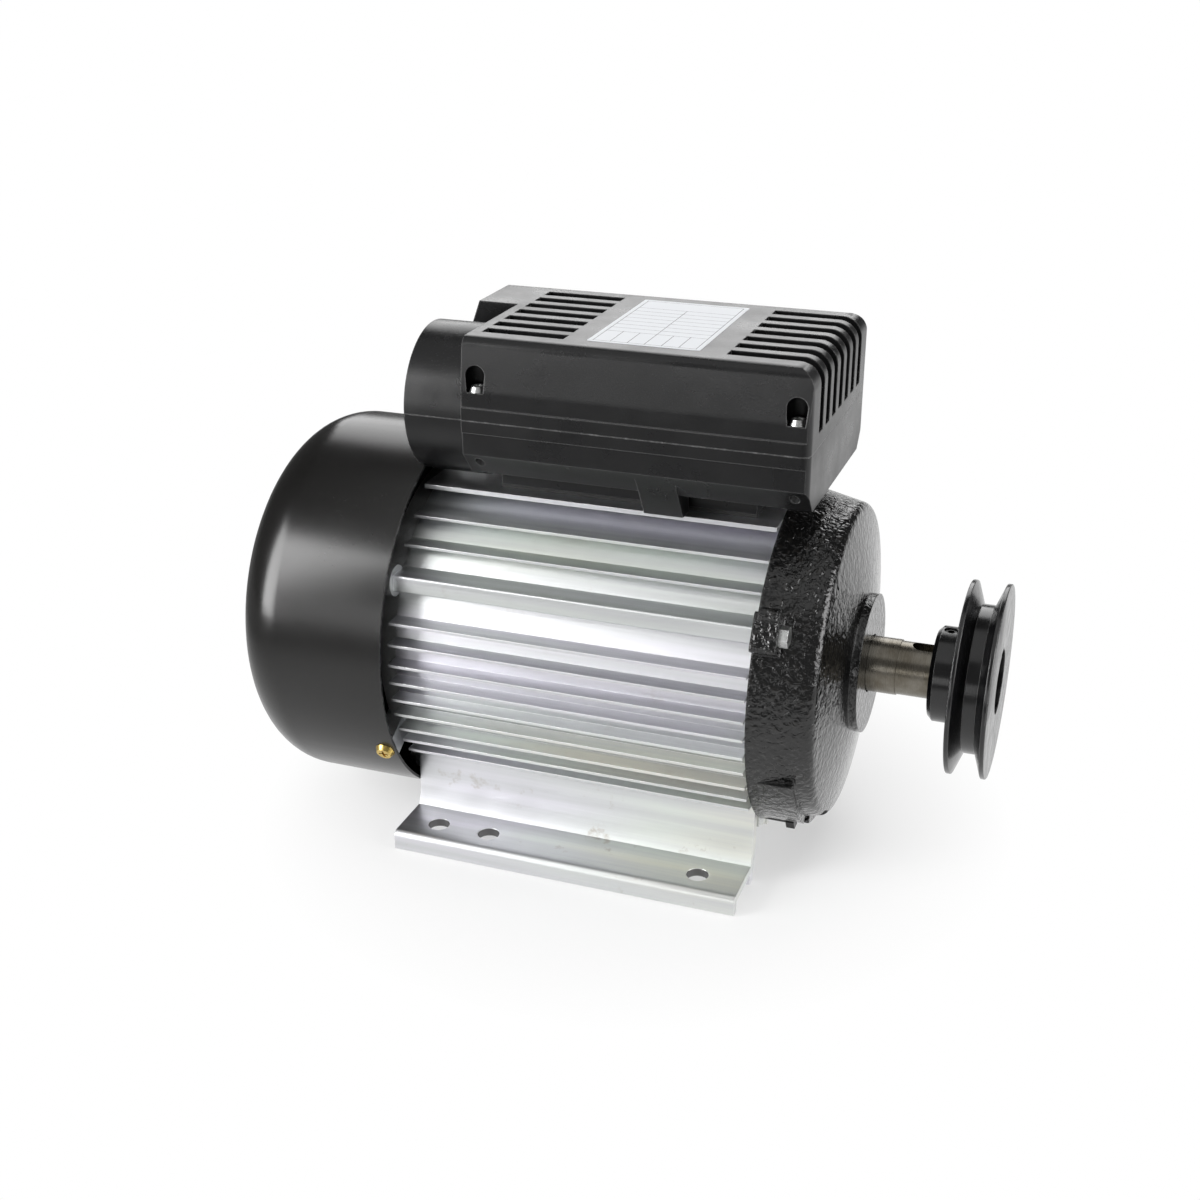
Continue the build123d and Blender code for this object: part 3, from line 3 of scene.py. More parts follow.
import bpy
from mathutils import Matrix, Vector


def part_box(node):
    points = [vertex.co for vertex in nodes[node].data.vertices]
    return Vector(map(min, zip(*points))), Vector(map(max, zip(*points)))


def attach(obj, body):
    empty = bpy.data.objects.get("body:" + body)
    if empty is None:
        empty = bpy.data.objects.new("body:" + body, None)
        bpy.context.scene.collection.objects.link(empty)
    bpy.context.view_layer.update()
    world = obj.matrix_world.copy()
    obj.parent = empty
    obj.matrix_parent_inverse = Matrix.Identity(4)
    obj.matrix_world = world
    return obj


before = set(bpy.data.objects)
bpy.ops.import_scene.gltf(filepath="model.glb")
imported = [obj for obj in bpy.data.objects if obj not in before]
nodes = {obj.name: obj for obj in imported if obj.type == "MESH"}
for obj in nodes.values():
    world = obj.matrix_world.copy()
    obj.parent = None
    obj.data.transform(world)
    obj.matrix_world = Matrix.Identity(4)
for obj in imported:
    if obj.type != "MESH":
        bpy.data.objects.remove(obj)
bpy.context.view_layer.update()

# Camera: stands in front of the motor on the pulley's side and looks down on it, as in the photo.
# Its place and lens follow from the foot holes and the shaft of the real motor.
camera_drop = 23.442
camera_turn = 19.881
camera_data = bpy.data.cameras.new("studio_camera")
camera_data.lens = 49.847
camera_data.sensor_width = 36.0
camera_data.sensor_fit = "HORIZONTAL"
camera = bpy.data.objects.new("studio_camera", camera_data)
camera.location = (0.22413, -0.67063, 0.41086)
camera.rotation_euler = (math.radians(90 - camera_drop), 0.0, math.radians(camera_turn))
bpy.context.scene.collection.objects.link(camera)
bpy.context.scene.camera = camera
bpy.context.scene.view_settings.view_transform = "Standard"


# Ground: a pale table that keeps the motor's shadow round the feet and is plain white beyond it.
# Mirrored in paint it is bright only near by, as a small table in a darker room is.
def maths(tree, operation, first, second=None, clamp=False):
    """One Math node; a socket is linked and a number is set."""
    node = tree.nodes.new("ShaderNodeMath")
    node.operation = operation
    node.use_clamp = clamp
    for index, value in enumerate((first, second)):
        if value is None:
            continue
        if isinstance(value, (int, float)):
            node.inputs[index].default_value = value
        else:
            tree.links.new(value, node.inputs[index])
    return node.outputs[0]


def stretch_range(tree, value, low, high, new_low, new_high):
    """Map a value from one range to another, held at both ends."""
    node = tree.nodes.new("ShaderNodeMapRange")
    for label, number in (("From Min", low), ("From Max", high), ("To Min", new_low), ("To Max", new_high)):
        node.inputs[label].default_value = number
    tree.links.new(value, node.inputs["Value"])
    return node.outputs[0]


def distance_from(tree, centre):
    """Distance of a ground point from a centre, in metres."""
    place = tree.nodes.new("ShaderNodeTexCoord")
    offset = tree.nodes.new("ShaderNodeVectorMath")
    offset.operation = "DISTANCE"
    offset.inputs[1].default_value = centre
    tree.links.new(place.outputs["Object"], offset.inputs[0])
    return offset.outputs["Value"]


floor_half = 6.0
floor_drop = 0.0004
shadow_radius = 0.09
white_radius = 0.18
white_in_shadow = 0.45
mirrored_share = 0.85
room_dark = 0.12
floor_mesh = bpy.data.meshes.new("floor")
floor_mesh.from_pydata([(x * floor_half, y * floor_half, -floor_drop)
                        for x, y in ((-1, -1), (1, -1), (1, 1), (-1, 1))], [], [(0, 1, 2, 3)])
floor = bpy.data.objects.new("floor", floor_mesh)
bpy.context.scene.collection.objects.link(floor)

floor_material = bpy.data.materials.new("studio_floor")
floor_material.use_nodes = True
tree = floor_material.node_tree
tree.nodes.clear()
path = tree.nodes.new("ShaderNodeLightPath")
matte = tree.nodes.new("ShaderNodeBsdfDiffuse")
matte.inputs["Color"].default_value = (0.86, 0.86, 0.86, 1)
glow = tree.nodes.new("ShaderNodeEmission")
glow.inputs["Color"].default_value = (1, 1, 1, 1)
mirrored_glow = tree.nodes.new("ShaderNodeEmission")
ground = tree.nodes.new("ShaderNodeTexCoord")
ground_place = tree.nodes.new("ShaderNodeSeparateXYZ")
tree.links.new(ground.outputs["Object"], ground_place.inputs[0])
front_edge = stretch_range(tree, ground_place.outputs["Y"], -0.54, -0.28, room_dark, 0.98)
fan_edge = stretch_range(tree, ground_place.outputs["X"], -0.45, -0.20, room_dark, 1.0)
tree.links.new(maths(tree, "MULTIPLY", front_edge, fan_edge), mirrored_glow.inputs["Color"])
seen = maths(tree, "MAXIMUM", path.outputs["Is Camera Ray"], path.outputs["Is Transmission Ray"])
off_centre = distance_from(tree, (0.0, 0.0, 0.0))
share = stretch_range(tree, off_centre, shadow_radius, white_radius, white_in_shadow, 1.0)
for_eye = tree.nodes.new("ShaderNodeMixShader")
tree.links.new(maths(tree, "MULTIPLY", share, seen), for_eye.inputs["Fac"])
tree.links.new(matte.outputs[0], for_eye.inputs[1])
tree.links.new(glow.outputs[0], for_eye.inputs[2])
for_paint = tree.nodes.new("ShaderNodeMixShader")
paint_fac = maths(tree, "MULTIPLY", path.outputs["Is Glossy Ray"], mirrored_share)
tree.links.new(paint_fac, for_paint.inputs["Fac"])
tree.links.new(for_eye.outputs[0], for_paint.inputs[1])
tree.links.new(mirrored_glow.outputs[0], for_paint.inputs[2])
out = tree.nodes.new("ShaderNodeOutputMaterial")
tree.links.new(for_paint.outputs[0], out.inputs["Surface"])
floor_mesh.materials.append(floor_material)

# Sky: white behind the motor for the eye, and a dim room for everything it lights. The room is a
# little lighter on the photographer's side.
world = bpy.data.worlds.new("studio_world")
bpy.context.scene.world = world
world.use_nodes = True
tree = world.node_tree
tree.nodes.clear()
sky = tree.nodes.new("ShaderNodeBackground")
place = tree.nodes.new("ShaderNodeTexCoord")
direction = tree.nodes.new("ShaderNodeSeparateXYZ")
tree.links.new(place.outputs["Generated"], direction.inputs[0])
room = stretch_range(tree, direction.outputs["Y"], -0.8, 0.3, 0.22, 0.08)
path = tree.nodes.new("ShaderNodeLightPath")
tree.links.new(maths(tree, "MAXIMUM", room, path.outputs["Is Camera Ray"]), sky.inputs["Color"])
out = tree.nodes.new("ShaderNodeOutputWorld")
tree.links.new(sky.outputs[0], out.inputs["Surface"])

# Soft boxes: five plain white ones aimed at the middle of the motor. Each line has the place, the
# width and height in metres, and the power in watts.
aim_height = 0.12
soft_boxes = (
    ("fan_side_box", (-1.10, -0.96, 0.60), (0.65, 1.2), 25.5),
    ("front_box", (-0.35, -1.40, 0.26), (0.8, 0.40), 2.0),
    ("pulley_side_box", (1.25, -0.10, 0.55), (0.8, 1.0), 14.0),
    ("back_box", (-0.35, 1.30, 0.90), (1.4, 1.0), 12.0),
    ("overhead_box", (0.00, -0.25, 1.15), (1.2, 1.1), 2.6),
)
for name, lamp_place, size, power in soft_boxes:
    lamp = bpy.data.lights.new(name, "AREA")
    lamp.shape = "RECTANGLE"
    lamp.size, lamp.size_y = size
    lamp.energy = power
    lamp_object = bpy.data.objects.new(name, lamp)
    lamp_object.location = lamp_place
    aim = Vector((0, 0, aim_height)) - Vector(lamp_place)
    lamp_object.rotation_euler = aim.to_track_quat("-Z", "Y").to_euler()
    bpy.context.scene.collection.objects.link(lamp_object)


# Motor housing: one length of aluminium extrusion with fins, feet and a flat table, sawn square
# and etched bright. Die lines run along the shaft. The fin tips and edges are painted brighter, as
# polish from handling and as painted highlight. The foot holes are drilled, and their walls are
# painted dark as shade inside the holes.
def socket(tree, name, kind, value=None, out=False):
    """One named input or output of a node group."""
    item = tree.interface.new_socket(name, in_out="OUTPUT" if out else "INPUT", socket_type=kind)
    if value is not None:
        item.default_value = value


def edge_smoothing():
    """Node tree that joins loose facets and shades them smooth, except across sharp edges."""
    tree = bpy.data.node_groups.new("edge_smoothing", "GeometryNodeTree")
    socket(tree, "Geometry", "NodeSocketGeometry")
    socket(tree, "Weld distance", "NodeSocketFloat", 0.000004)
    socket(tree, "Sharp angle", "NodeSocketFloat", math.radians(32))
    socket(tree, "Geometry", "NodeSocketGeometry", out=True)
    make, link = tree.nodes, tree.links
    start, end = make.new("NodeGroupInput"), make.new("NodeGroupOutput")
    weld = make.new("GeometryNodeMergeByDistance")
    link.new(start.outputs["Geometry"], weld.inputs["Geometry"])
    link.new(start.outputs["Weld distance"], weld.inputs["Distance"])
    faces = make.new("GeometryNodeSetShadeSmooth")
    faces.domain = "FACE"
    faces.inputs["Shade Smooth"].default_value = True
    link.new(weld.outputs["Geometry"], faces.inputs["Geometry"])
    angle = make.new("GeometryNodeInputMeshEdgeAngle")
    sharp = make.new("FunctionNodeCompare")
    sharp.operation = "GREATER_THAN"
    link.new(angle.outputs["Unsigned Angle"], sharp.inputs[0])
    link.new(start.outputs["Sharp angle"], sharp.inputs[1])
    edges = make.new("GeometryNodeSetShadeSmooth")
    edges.domain = "EDGE"
    edges.inputs["Shade Smooth"].default_value = False
    link.new(faces.outputs["Geometry"], edges.inputs["Geometry"])
    link.new(sharp.outputs["Result"], edges.inputs["Selection"])
    link.new(edges.outputs["Geometry"], end.inputs["Geometry"])
    return tree


smoothing = edge_smoothing()


def dress(material, *names):
    """Give CAD nodes their finish and smooth shading; their own meshes stay as they are."""
    for name in names:
        node = nodes[name]
        node.data.materials.clear()
        node.data.materials.append(material)
        node.modifiers.new("edge_smoothing", "NODES").node_group = smoothing


def shader_group(name, inputs, outputs):
    """An empty shader group with named float inputs and outputs of the kinds given."""
    tree = bpy.data.node_groups.new(name, "ShaderNodeTree")
    for label, value in inputs:
        socket(tree, label, "NodeSocketFloat", value)
    for label, kind in outputs:
        socket(tree, label, kind, out=True)
    return tree, tree.nodes.new("NodeGroupInput"), tree.nodes.new("NodeGroupOutput")


def noise_texture(tree, scale, stretch=(1, 1, 1), detail=4.0, rough=0.55, distort=0.0):
    """Noise on Object coordinates, drawn out along an axis whose stretch is below 1."""
    place = tree.nodes.new("ShaderNodeTexCoord")
    mapping = tree.nodes.new("ShaderNodeMapping")
    mapping.inputs["Scale"].default_value = stretch
    tree.links.new(place.outputs["Object"], mapping.inputs["Vector"])
    noise = tree.nodes.new("ShaderNodeTexNoise")
    noise.inputs["Detail"].default_value = detail
    noise.inputs["Roughness"].default_value = rough
    noise.inputs["Distortion"].default_value = distort
    if isinstance(scale, (int, float)):
        noise.inputs["Scale"].default_value = scale
    else:
        tree.links.new(scale, noise.inputs["Scale"])
    tree.links.new(mapping.outputs[0], noise.inputs["Vector"])
    return noise.outputs["Fac"]


def edge_wear_and_highlight_group():
    """Mask of edges, for wear and for painted highlight: where a rounded normal leaves the true one, broken
    up by noise.
    """
    tree, start, end = shader_group(
        "edge_wear_and_highlight", (("Radius", 0.0006), ("Break up", 60.0), ("Amount", 1.0)),
        (("Mask", "NodeSocketFloat"), ("Normal", "NodeSocketVector")))
    bevel = tree.nodes.new("ShaderNodeBevel")
    bevel.samples = 4
    gain = 14.0
    tree.links.new(start.outputs["Radius"], bevel.inputs["Radius"])
    true = tree.nodes.new("ShaderNodeNewGeometry")
    agree = tree.nodes.new("ShaderNodeVectorMath")
    agree.operation = "DOT_PRODUCT"
    tree.links.new(bevel.outputs["Normal"], agree.inputs[0])
    tree.links.new(true.outputs["Normal"], agree.inputs[1])
    spread = maths(tree, "SUBTRACT", 1.0, agree.outputs["Value"])
    broken = maths(tree, "MULTIPLY", spread, noise_texture(tree, start.outputs["Break up"]))
    strong = maths(tree, "MULTIPLY", broken, gain, clamp=True)
    tree.links.new(maths(tree, "MULTIPLY", strong, start.outputs["Amount"], clamp=True), end.inputs["Mask"])
    tree.links.new(bevel.outputs["Normal"], end.inputs["Normal"])
    return tree


edge_wear_and_highlight = edge_wear_and_highlight_group()


def group_node(tree, group, **values):
    """Place a group in a material with its own values."""
    node = tree.nodes.new("ShaderNodeGroup")
    node.node_tree = group
    for name, value in values.items():
        node.inputs[name.replace("_", " ")].default_value = value
    return node


def shader(name, metallic, roughness, color, **settings):
    """A Principled material with plain values on its own sockets, for those left unlinked."""
    material = bpy.data.materials.new(name)
    material.use_nodes = True
    tree = material.node_tree
    surface = tree.nodes["Principled BSDF"]
    surface.inputs["Base Color"].default_value = (*color, 1)
    surface.inputs["Metallic"].default_value = metallic
    surface.inputs["Roughness"].default_value = roughness
    for label, value in settings.items():
        surface.inputs[label.replace("_", " ")].default_value = value
    return material, tree, surface.inputs


def blend_colors(tree, fac, first, second):
    """Mix two colours by a mask; a socket is linked and a colour is set."""
    node = tree.nodes.new("ShaderNodeMix")
    node.data_type = "RGBA"
    tree.links.new(fac, node.inputs["Factor"])
    for label, value in (("A", first), ("B", second)):
        target = next(entry for entry in node.inputs if entry.name == label and entry.type == "RGBA")
        if isinstance(value, tuple):
            target.default_value = (*value, 1)
        else:
            tree.links.new(value, target)
    return next(entry for entry in node.outputs if entry.type == "RGBA")


def noise_between(tree, noise, low, high):
    """Map the middle band of a noise, where nearly all of it lies, to a range."""
    return stretch_range(tree, noise, 0.3, 0.7, low, high)


def bump(tree, height, depth, normal=None):
    """Bump of a height socket, its depth in metres."""
    node = tree.nodes.new("ShaderNodeBump")
    node.inputs["Distance"].default_value = depth
    tree.links.new(height, node.inputs["Height"])
    if normal is not None:
        tree.links.new(normal, node.inputs["Normal"])
    return node.outputs[0]


def object_axis(tree, axis):
    """One coordinate of the point in the object's own space, in metres."""
    place = tree.nodes.new("ShaderNodeTexCoord")
    split = tree.nodes.new("ShaderNodeSeparateXYZ")
    tree.links.new(place.outputs["Object"], split.inputs[0])
    return split.outputs[axis]


aluminium, tree, inputs = shader("etched_aluminium", 1.0, 0.34, (0.90, 0.91, 0.90))
die_lines = noise_texture(tree, 900.0, (0.012, 1, 1), detail=5.0, rough=0.65)
wide_streaks = noise_texture(tree, 130.0, (0.03, 1, 1), detail=3.0)
sheen = noise_texture(tree, 26.0, (0.16, 1, 1), detail=1.0)
yellow_green = stretch_range(tree, sheen, 0.44, 0.56, 0, 1)
tint = blend_colors(tree, yellow_green, (0.75, 0.74, 0.79), (0.75, 0.79, 0.75))
warm = blend_colors(tree, stretch_range(tree, sheen, 0.58, 0.68, 0, 1), tint, (0.79, 0.78, 0.70))
streaked = blend_colors(tree, noise_between(tree, wide_streaks, 0, 1), warm, (0.60, 0.61, 0.62))
stains = noise_texture(tree, 60.0, (1, 1, 1), detail=6.0, rough=0.72)
stains_full_below = 0.012
stains_thin_above = 0.040
low_down = stretch_range(tree, object_axis(tree, "Z"), stains_full_below, stains_thin_above, 1.0, 0.25)
stain_mask = maths(tree, "MULTIPLY", stretch_range(tree, stains, 0.60, 0.70, 0, 0.75), low_down)
stained = blend_colors(tree, stain_mask, streaked, (0.42, 0.38, 0.33))
foot_middle = -0.0099
hole_reach = 0.0685
hole_inner_side = 0.064
hole_outer_side = 0.076
hole_rim_height = 0.0086
# Painted shade: the walls of the foot holes are darkened to stand for the shade inside them.
off_middle = maths(tree, "ABSOLUTE", maths(tree, "SUBTRACT", object_axis(tree, "X"), foot_middle))
off_centre_line = maths(tree, "ABSOLUTE", object_axis(tree, "Y"))
hole_shade_mask = maths(tree, "LESS_THAN", object_axis(tree, "Z"), hole_rim_height)
for nearer, farther in ((off_middle, hole_reach), (off_centre_line, hole_outer_side),
                        (hole_inner_side, off_centre_line)):
    hole_shade_mask = maths(tree, "MULTIPLY", hole_shade_mask, maths(tree, "LESS_THAN", nearer, farther))
hole_walls_painted_shade = blend_colors(tree, hole_shade_mask, stained, (0.16, 0.16, 0.16))
# Painted highlight: edges and fin tips are painted brighter, partly as polish from handling.
wear_and_highlight = group_node(tree, edge_wear_and_highlight, Radius=0.0005, Break_up=90.0, Amount=0.9)
edges_highlit_and_polished = blend_colors(tree, wear_and_highlight.outputs["Mask"], hole_walls_painted_shade, (0.98, 0.98, 0.98))
tree.links.new(edges_highlit_and_polished, inputs["Base Color"])
tree.links.new(noise_between(tree, die_lines, 0.32, 0.50), inputs["Roughness"])
tree.links.new(bump(tree, die_lines, 0.00005, wear_and_highlight.outputs["Normal"]), inputs["Normal"])
dress(aluminium, "motor_housing")

# Stator: punched sheets stacked and pressed into the housing, wound with two varnished coils of
# copper wire. The rotor's core is stacked from the same sheets.
sheets, tree, inputs = shader("core_sheets", 1.0, 0.42, (0.34, 0.35, 0.37))
stack = noise_texture(tree, 1.0, (2000, 8, 8), detail=1.0)
tree.links.new(blend_colors(tree, stack, (0.26, 0.27, 0.29), (0.42, 0.43, 0.45)), inputs["Base Color"])
tree.links.new(bump(tree, stack, 0.0001), inputs["Normal"])
dress(sheets, "stator_core", "rotor_core", "upper_weight", "lower_weight")

copper, tree, inputs = shader("varnished_copper", 1.0, 0.34, (0.62, 0.27, 0.12), Coat_Weight=0.5)
turns = noise_texture(tree, 1.0, (60, 900, 900), detail=2.0)
tree.links.new(blend_colors(tree, turns, (0.46, 0.18, 0.08), (0.74, 0.36, 0.17)), inputs["Base Color"])
tree.links.new(bump(tree, turns, 0.0003), inputs["Normal"])
dress(copper, "main_winding", "start_winding")

# Shaft and key: turned steel with fine rings from the tool and a thin brown film of oil, so it is
# duller and warmer than the housing beside it.
shaft_steel, tree, inputs = shader("turned_steel", 1.0, 0.30, (0.34, 0.32, 0.28))
tool_rings = noise_texture(tree, 1.0, (3200, 12, 12), detail=3.0)
film = noise_texture(tree, 60.0, (1, 0.4, 1), detail=5.0, rough=0.65)
tree.links.new(blend_colors(tree, stretch_range(tree, film, 0.35, 0.65, 0, 1),
                            (0.24, 0.225, 0.195), (0.13, 0.115, 0.09)), inputs["Base Color"])
tree.links.new(noise_between(tree, tool_rings, 0.20, 0.38), inputs["Roughness"])
tree.links.new(bump(tree, tool_rings, 0.00003), inputs["Normal"])
dress(shaft_steel, "shaft", "drive_key", "governor_pins")

# Ball bearings: hardened rings, balls and shields, ground to a fine polish. One is pressed on
# each end of the shaft and sits in its end bell.
ground_steel, tree, inputs = shader("ground_steel", 1.0, 0.16, (0.66, 0.66, 0.66))
polish = noise_texture(tree, 800.0, detail=2.0)
tree.links.new(blend_colors(tree, polish, (0.58, 0.58, 0.59), (0.74, 0.74, 0.73)), inputs["Base Color"])
tree.links.new(noise_between(tree, polish, 0.12, 0.22), inputs["Roughness"])
dress(ground_steel, *[f"{end}_bearing_{piece}" for end in ("front", "rear")
                      for piece in ("outer_ring", "inner_ring", "balls", "shields")])

# Rear end bell and rotor cage: die castings of aluminium, duller and grainy. The bell shows only
# as bright lugs between the cowl's rim and the housing.
cast_aluminium, tree, inputs = shader("cast_aluminium", 1.0, 0.48, (0.62, 0.63, 0.63))
grit = noise_texture(tree, 1400.0, detail=3.0)
tree.links.new(blend_colors(tree, grit, (0.48, 0.49, 0.50), (0.70, 0.71, 0.71)), inputs["Base Color"])
tree.links.new(noise_between(tree, grit, 0.38, 0.6), inputs["Roughness"])
tree.links.new(bump(tree, grit, 0.00012), inputs["Normal"])
dress(cast_aluminium, "rear_end_bell", "rotor_cage")

# Drive end bell: cast iron with its sand skin left on under thick gloss black paint, which pools
# between the grains. The cone and the boss in front are dressed smoother than the rim.
bell_black = (0.0045, 0.0045, 0.0045)
bell_paint, tree, inputs = shader("bell_paint", 0.0, 0.14, bell_black, Specular_IOR_Level=0.62)
skin = noise_texture(tree, 400.0, detail=2.0, rough=0.45, distort=0.9)
cells = tree.nodes.new("ShaderNodeTexVoronoi")
cells.feature = "SMOOTH_F1"
cells.inputs["Scale"].default_value = 330.0
place = tree.nodes.new("ShaderNodeTexCoord")
tree.links.new(place.outputs["Object"], cells.inputs["Vector"])
cell_share = 0.7
relief = maths(tree, "ADD", maths(tree, "MULTIPLY", cells.outputs["Distance"], cell_share), skin)
bell_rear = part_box("drive_end_bell")[0][0]
bell_rim_width = 0.029
smooth_run = 0.004
cone_share = 0.45
rim_share = stretch_range(tree, object_axis(tree, "X"), bell_rear + bell_rim_width - smooth_run,
                          bell_rear + bell_rim_width + smooth_run, 1.0, cone_share)
rounded = group_node(tree, edge_wear_and_highlight, Radius=0.0012)
rough_skin = maths(tree, "MULTIPLY", relief, rim_share)
tree.links.new(bump(tree, rough_skin, 0.0008, rounded.outputs["Normal"]), inputs["Normal"])
tree.links.new(noise_between(tree, skin, 0.05, 0.13), inputs["Roughness"])
tree.links.new(blend_colors(tree, stretch_range(tree, skin, 0.55, 0.75, 0, 1), bell_black,
                            (0.012, 0.011, 0.010)), inputs["Base Color"])
dress(bell_paint, "drive_end_bell")

# Rubber: lip seal on the shaft, gaskets of the terminal box, lead grommet and the gland's ring.
# All are moulded, matt and slightly bloomed.
rubber, tree, inputs = shader("black_rubber", 0.0, 0.62, (0.016, 0.016, 0.016))
bloom = noise_texture(tree, 180.0, detail=5.0)
tree.links.new(blend_colors(tree, bloom, (0.012, 0.012, 0.012), (0.024, 0.024, 0.023)), inputs["Base Color"])
tree.links.new(noise_between(tree, bloom, 0.52, 0.74), inputs["Roughness"])
tree.links.new(bump(tree, bloom, 0.00006), inputs["Normal"])
dress(rubber, "shaft_seal", "base_gasket", "lid_seal", "lead_grommet", "gland_seal")

# Centrifugal switch: a moulded collar that the weights push along the shaft, and a fixed board of
# brown laminate with its contacts.
pale_plastic, tree, inputs = shader("pale_plastic", 0.0, 0.40, (0.70, 0.68, 0.60))
mottle = noise_texture(tree, 200.0, detail=3.0)
tree.links.new(blend_colors(tree, mottle, (0.64, 0.62, 0.54), (0.75, 0.73, 0.65)), inputs["Base Color"])
tree.links.new(noise_between(tree, mottle, 0.32, 0.5), inputs["Roughness"])
dress(pale_plastic, "switch_collar", "run_capacitor")

laminate, tree, inputs = shader("brown_laminate", 0.0, 0.5, (0.26, 0.13, 0.06))
weave = noise_texture(tree, 900.0, (1, 1, 0.2), detail=2.0)
tree.links.new(blend_colors(tree, weave, (0.20, 0.10, 0.045), (0.32, 0.17, 0.08)), inputs["Base Color"])
tree.links.new(noise_between(tree, weave, 0.4, 0.6), inputs["Roughness"])
dress(laminate, "switch_board")


# Fan cowl: deep drawn steel sheet in thin satin black paint, with a few rubbed spots and specks.
# Three yellow screws hold its rim on the rear bell.
def dust_group():
    """Mask of fine dust and specks, thicker on faces that look up."""
    tree, start, end = shader_group("dust", (("Scale", 900.0), ("Amount", 0.3)),
                                    (("Mask", "NodeSocketFloat"),))
    speck_threshold = 0.66
    patch_threshold = 0.35
    share_on_top = 0.6
    share_everywhere = 0.25
    fine = noise_texture(tree, start.outputs["Scale"], detail=3.0)
    specks = maths(tree, "GREATER_THAN", fine, speck_threshold)
    coarse = noise_texture(tree, 24.0, detail=3.0)
    patches = maths(tree, "SUBTRACT", coarse, patch_threshold, clamp=True)
    up = tree.nodes.new("ShaderNodeNewGeometry")
    split = tree.nodes.new("ShaderNodeSeparateXYZ")
    tree.links.new(up.outputs["Normal"], split.inputs[0])
    on_top = maths(tree, "MULTIPLY", split.outputs["Z"], share_on_top, clamp=True)
    lift = maths(tree, "ADD", on_top, share_everywhere)
    both = maths(tree, "MULTIPLY", maths(tree, "MULTIPLY", specks, patches), lift)
    tree.links.new(maths(tree, "MULTIPLY", both, start.outputs["Amount"], clamp=True), end.inputs["Mask"])
    return tree


dust_specks = dust_group()

cowl_black = (0.0060, 0.0057, 0.0053)
cowl_paint, tree, inputs = shader("cowl_paint", 0.0, 0.24, cowl_black, Specular_IOR_Level=0.50)
scuffs = noise_texture(tree, 70.0, detail=8.0, rough=0.75)
haze = noise_texture(tree, 16.0, detail=3.0)
peel = noise_texture(tree, 1300.0, detail=2.0)
wear_and_highlight = group_node(tree, edge_wear_and_highlight, Radius=0.0006, Break_up=120.0, Amount=0.5)
dust = group_node(tree, dust_specks, Scale=700.0, Amount=0.30)
scuff_mask = stretch_range(tree, scuffs, 0.68, 0.74, 0, 0.6)
scuffed = blend_colors(tree, scuff_mask, cowl_black, (0.030, 0.028, 0.026))
dusted = blend_colors(tree, dust.outputs["Mask"], scuffed, (0.25, 0.24, 0.23))
tree.links.new(blend_colors(tree, wear_and_highlight.outputs["Mask"], dusted, (0.10, 0.10, 0.10)), inputs["Base Color"])
tree.links.new(noise_between(tree, haze, 0.20, 0.27), inputs["Roughness"])
tree.links.new(bump(tree, peel, 0.000015, wear_and_highlight.outputs["Normal"]), inputs["Normal"])
dress(cowl_paint, "fan_cowl")

# Terminal box: two black mouldings with a fine spark grain, joined at a parting line where flash
# has been cut away and left pale flecks.
box_black = (0.0060, 0.0060, 0.0064)
box_plastic, tree, inputs = shader("box_plastic", 0.0, 0.30, box_black, Specular_IOR_Level=0.38)
spark = noise_texture(tree, 1500.0, detail=2.0)
patch = noise_texture(tree, 42.0, detail=4.0, rough=0.6)
sink_marks = noise_texture(tree, 46.0, detail=1.0)
wear_and_highlight = group_node(tree, edge_wear_and_highlight, Radius=0.0007, Break_up=140.0, Amount=0.8)
dust = group_node(tree, dust_specks, Scale=1500.0, Amount=0.6)
dusted = blend_colors(tree, dust.outputs["Mask"], box_black, (0.22, 0.22, 0.22))
# Painted highlight: edges and step edges are painted paler, as painted highlight and as wear.
edges_highlit_and_worn = blend_colors(tree, wear_and_highlight.outputs["Mask"], dusted, (0.13, 0.13, 0.13))
parting_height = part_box("terminal_box_lid")[0][2]
flash_width = 0.00045
off_line = maths(tree, "ABSOLUTE", maths(tree, "SUBTRACT", object_axis(tree, "Z"), parting_height))
near_line = stretch_range(tree, off_line, flash_width * 0.5, flash_width, 1, 0)
nicks = stretch_range(tree, noise_texture(tree, 420.0, detail=5.0, rough=0.7), 0.50, 0.66, 0, 0.55)
flecks = maths(tree, "MULTIPLY", near_line, nicks)
tree.links.new(blend_colors(tree, flecks, edges_highlit_and_worn, (0.20, 0.20, 0.20)), inputs["Base Color"])
tree.links.new(noise_between(tree, patch, 0.24, 0.36), inputs["Roughness"])
grain = bump(tree, spark, 0.00005, wear_and_highlight.outputs["Normal"])
tree.links.new(bump(tree, sink_marks, 0.00030, grain), inputs["Normal"])
dress(box_plastic, "terminal_box_lid", "terminal_box_base")

# Small mouldings in smoother black nylon: gland, fan, terminal block and the capacitor's can.
# The gland is screwed through the far wall of the terminal box, and the fan is pushed on the shaft.
nylon, tree, inputs = shader("black_nylon", 0.0, 0.35, (0.012, 0.012, 0.012))
flow = noise_texture(tree, 300.0, detail=2.0)
tree.links.new(blend_colors(tree, flow, (0.009, 0.009, 0.009), (0.017, 0.017, 0.017)), inputs["Base Color"])
tree.links.new(noise_between(tree, flow, 0.28, 0.42), inputs["Roughness"])
tree.links.new(bump(tree, flow, 0.00003), inputs["Normal"])
dress(nylon, "gland_body", "gland_cap", "gland_locknut", "cooling_fan", "terminal_board", "start_capacitor")

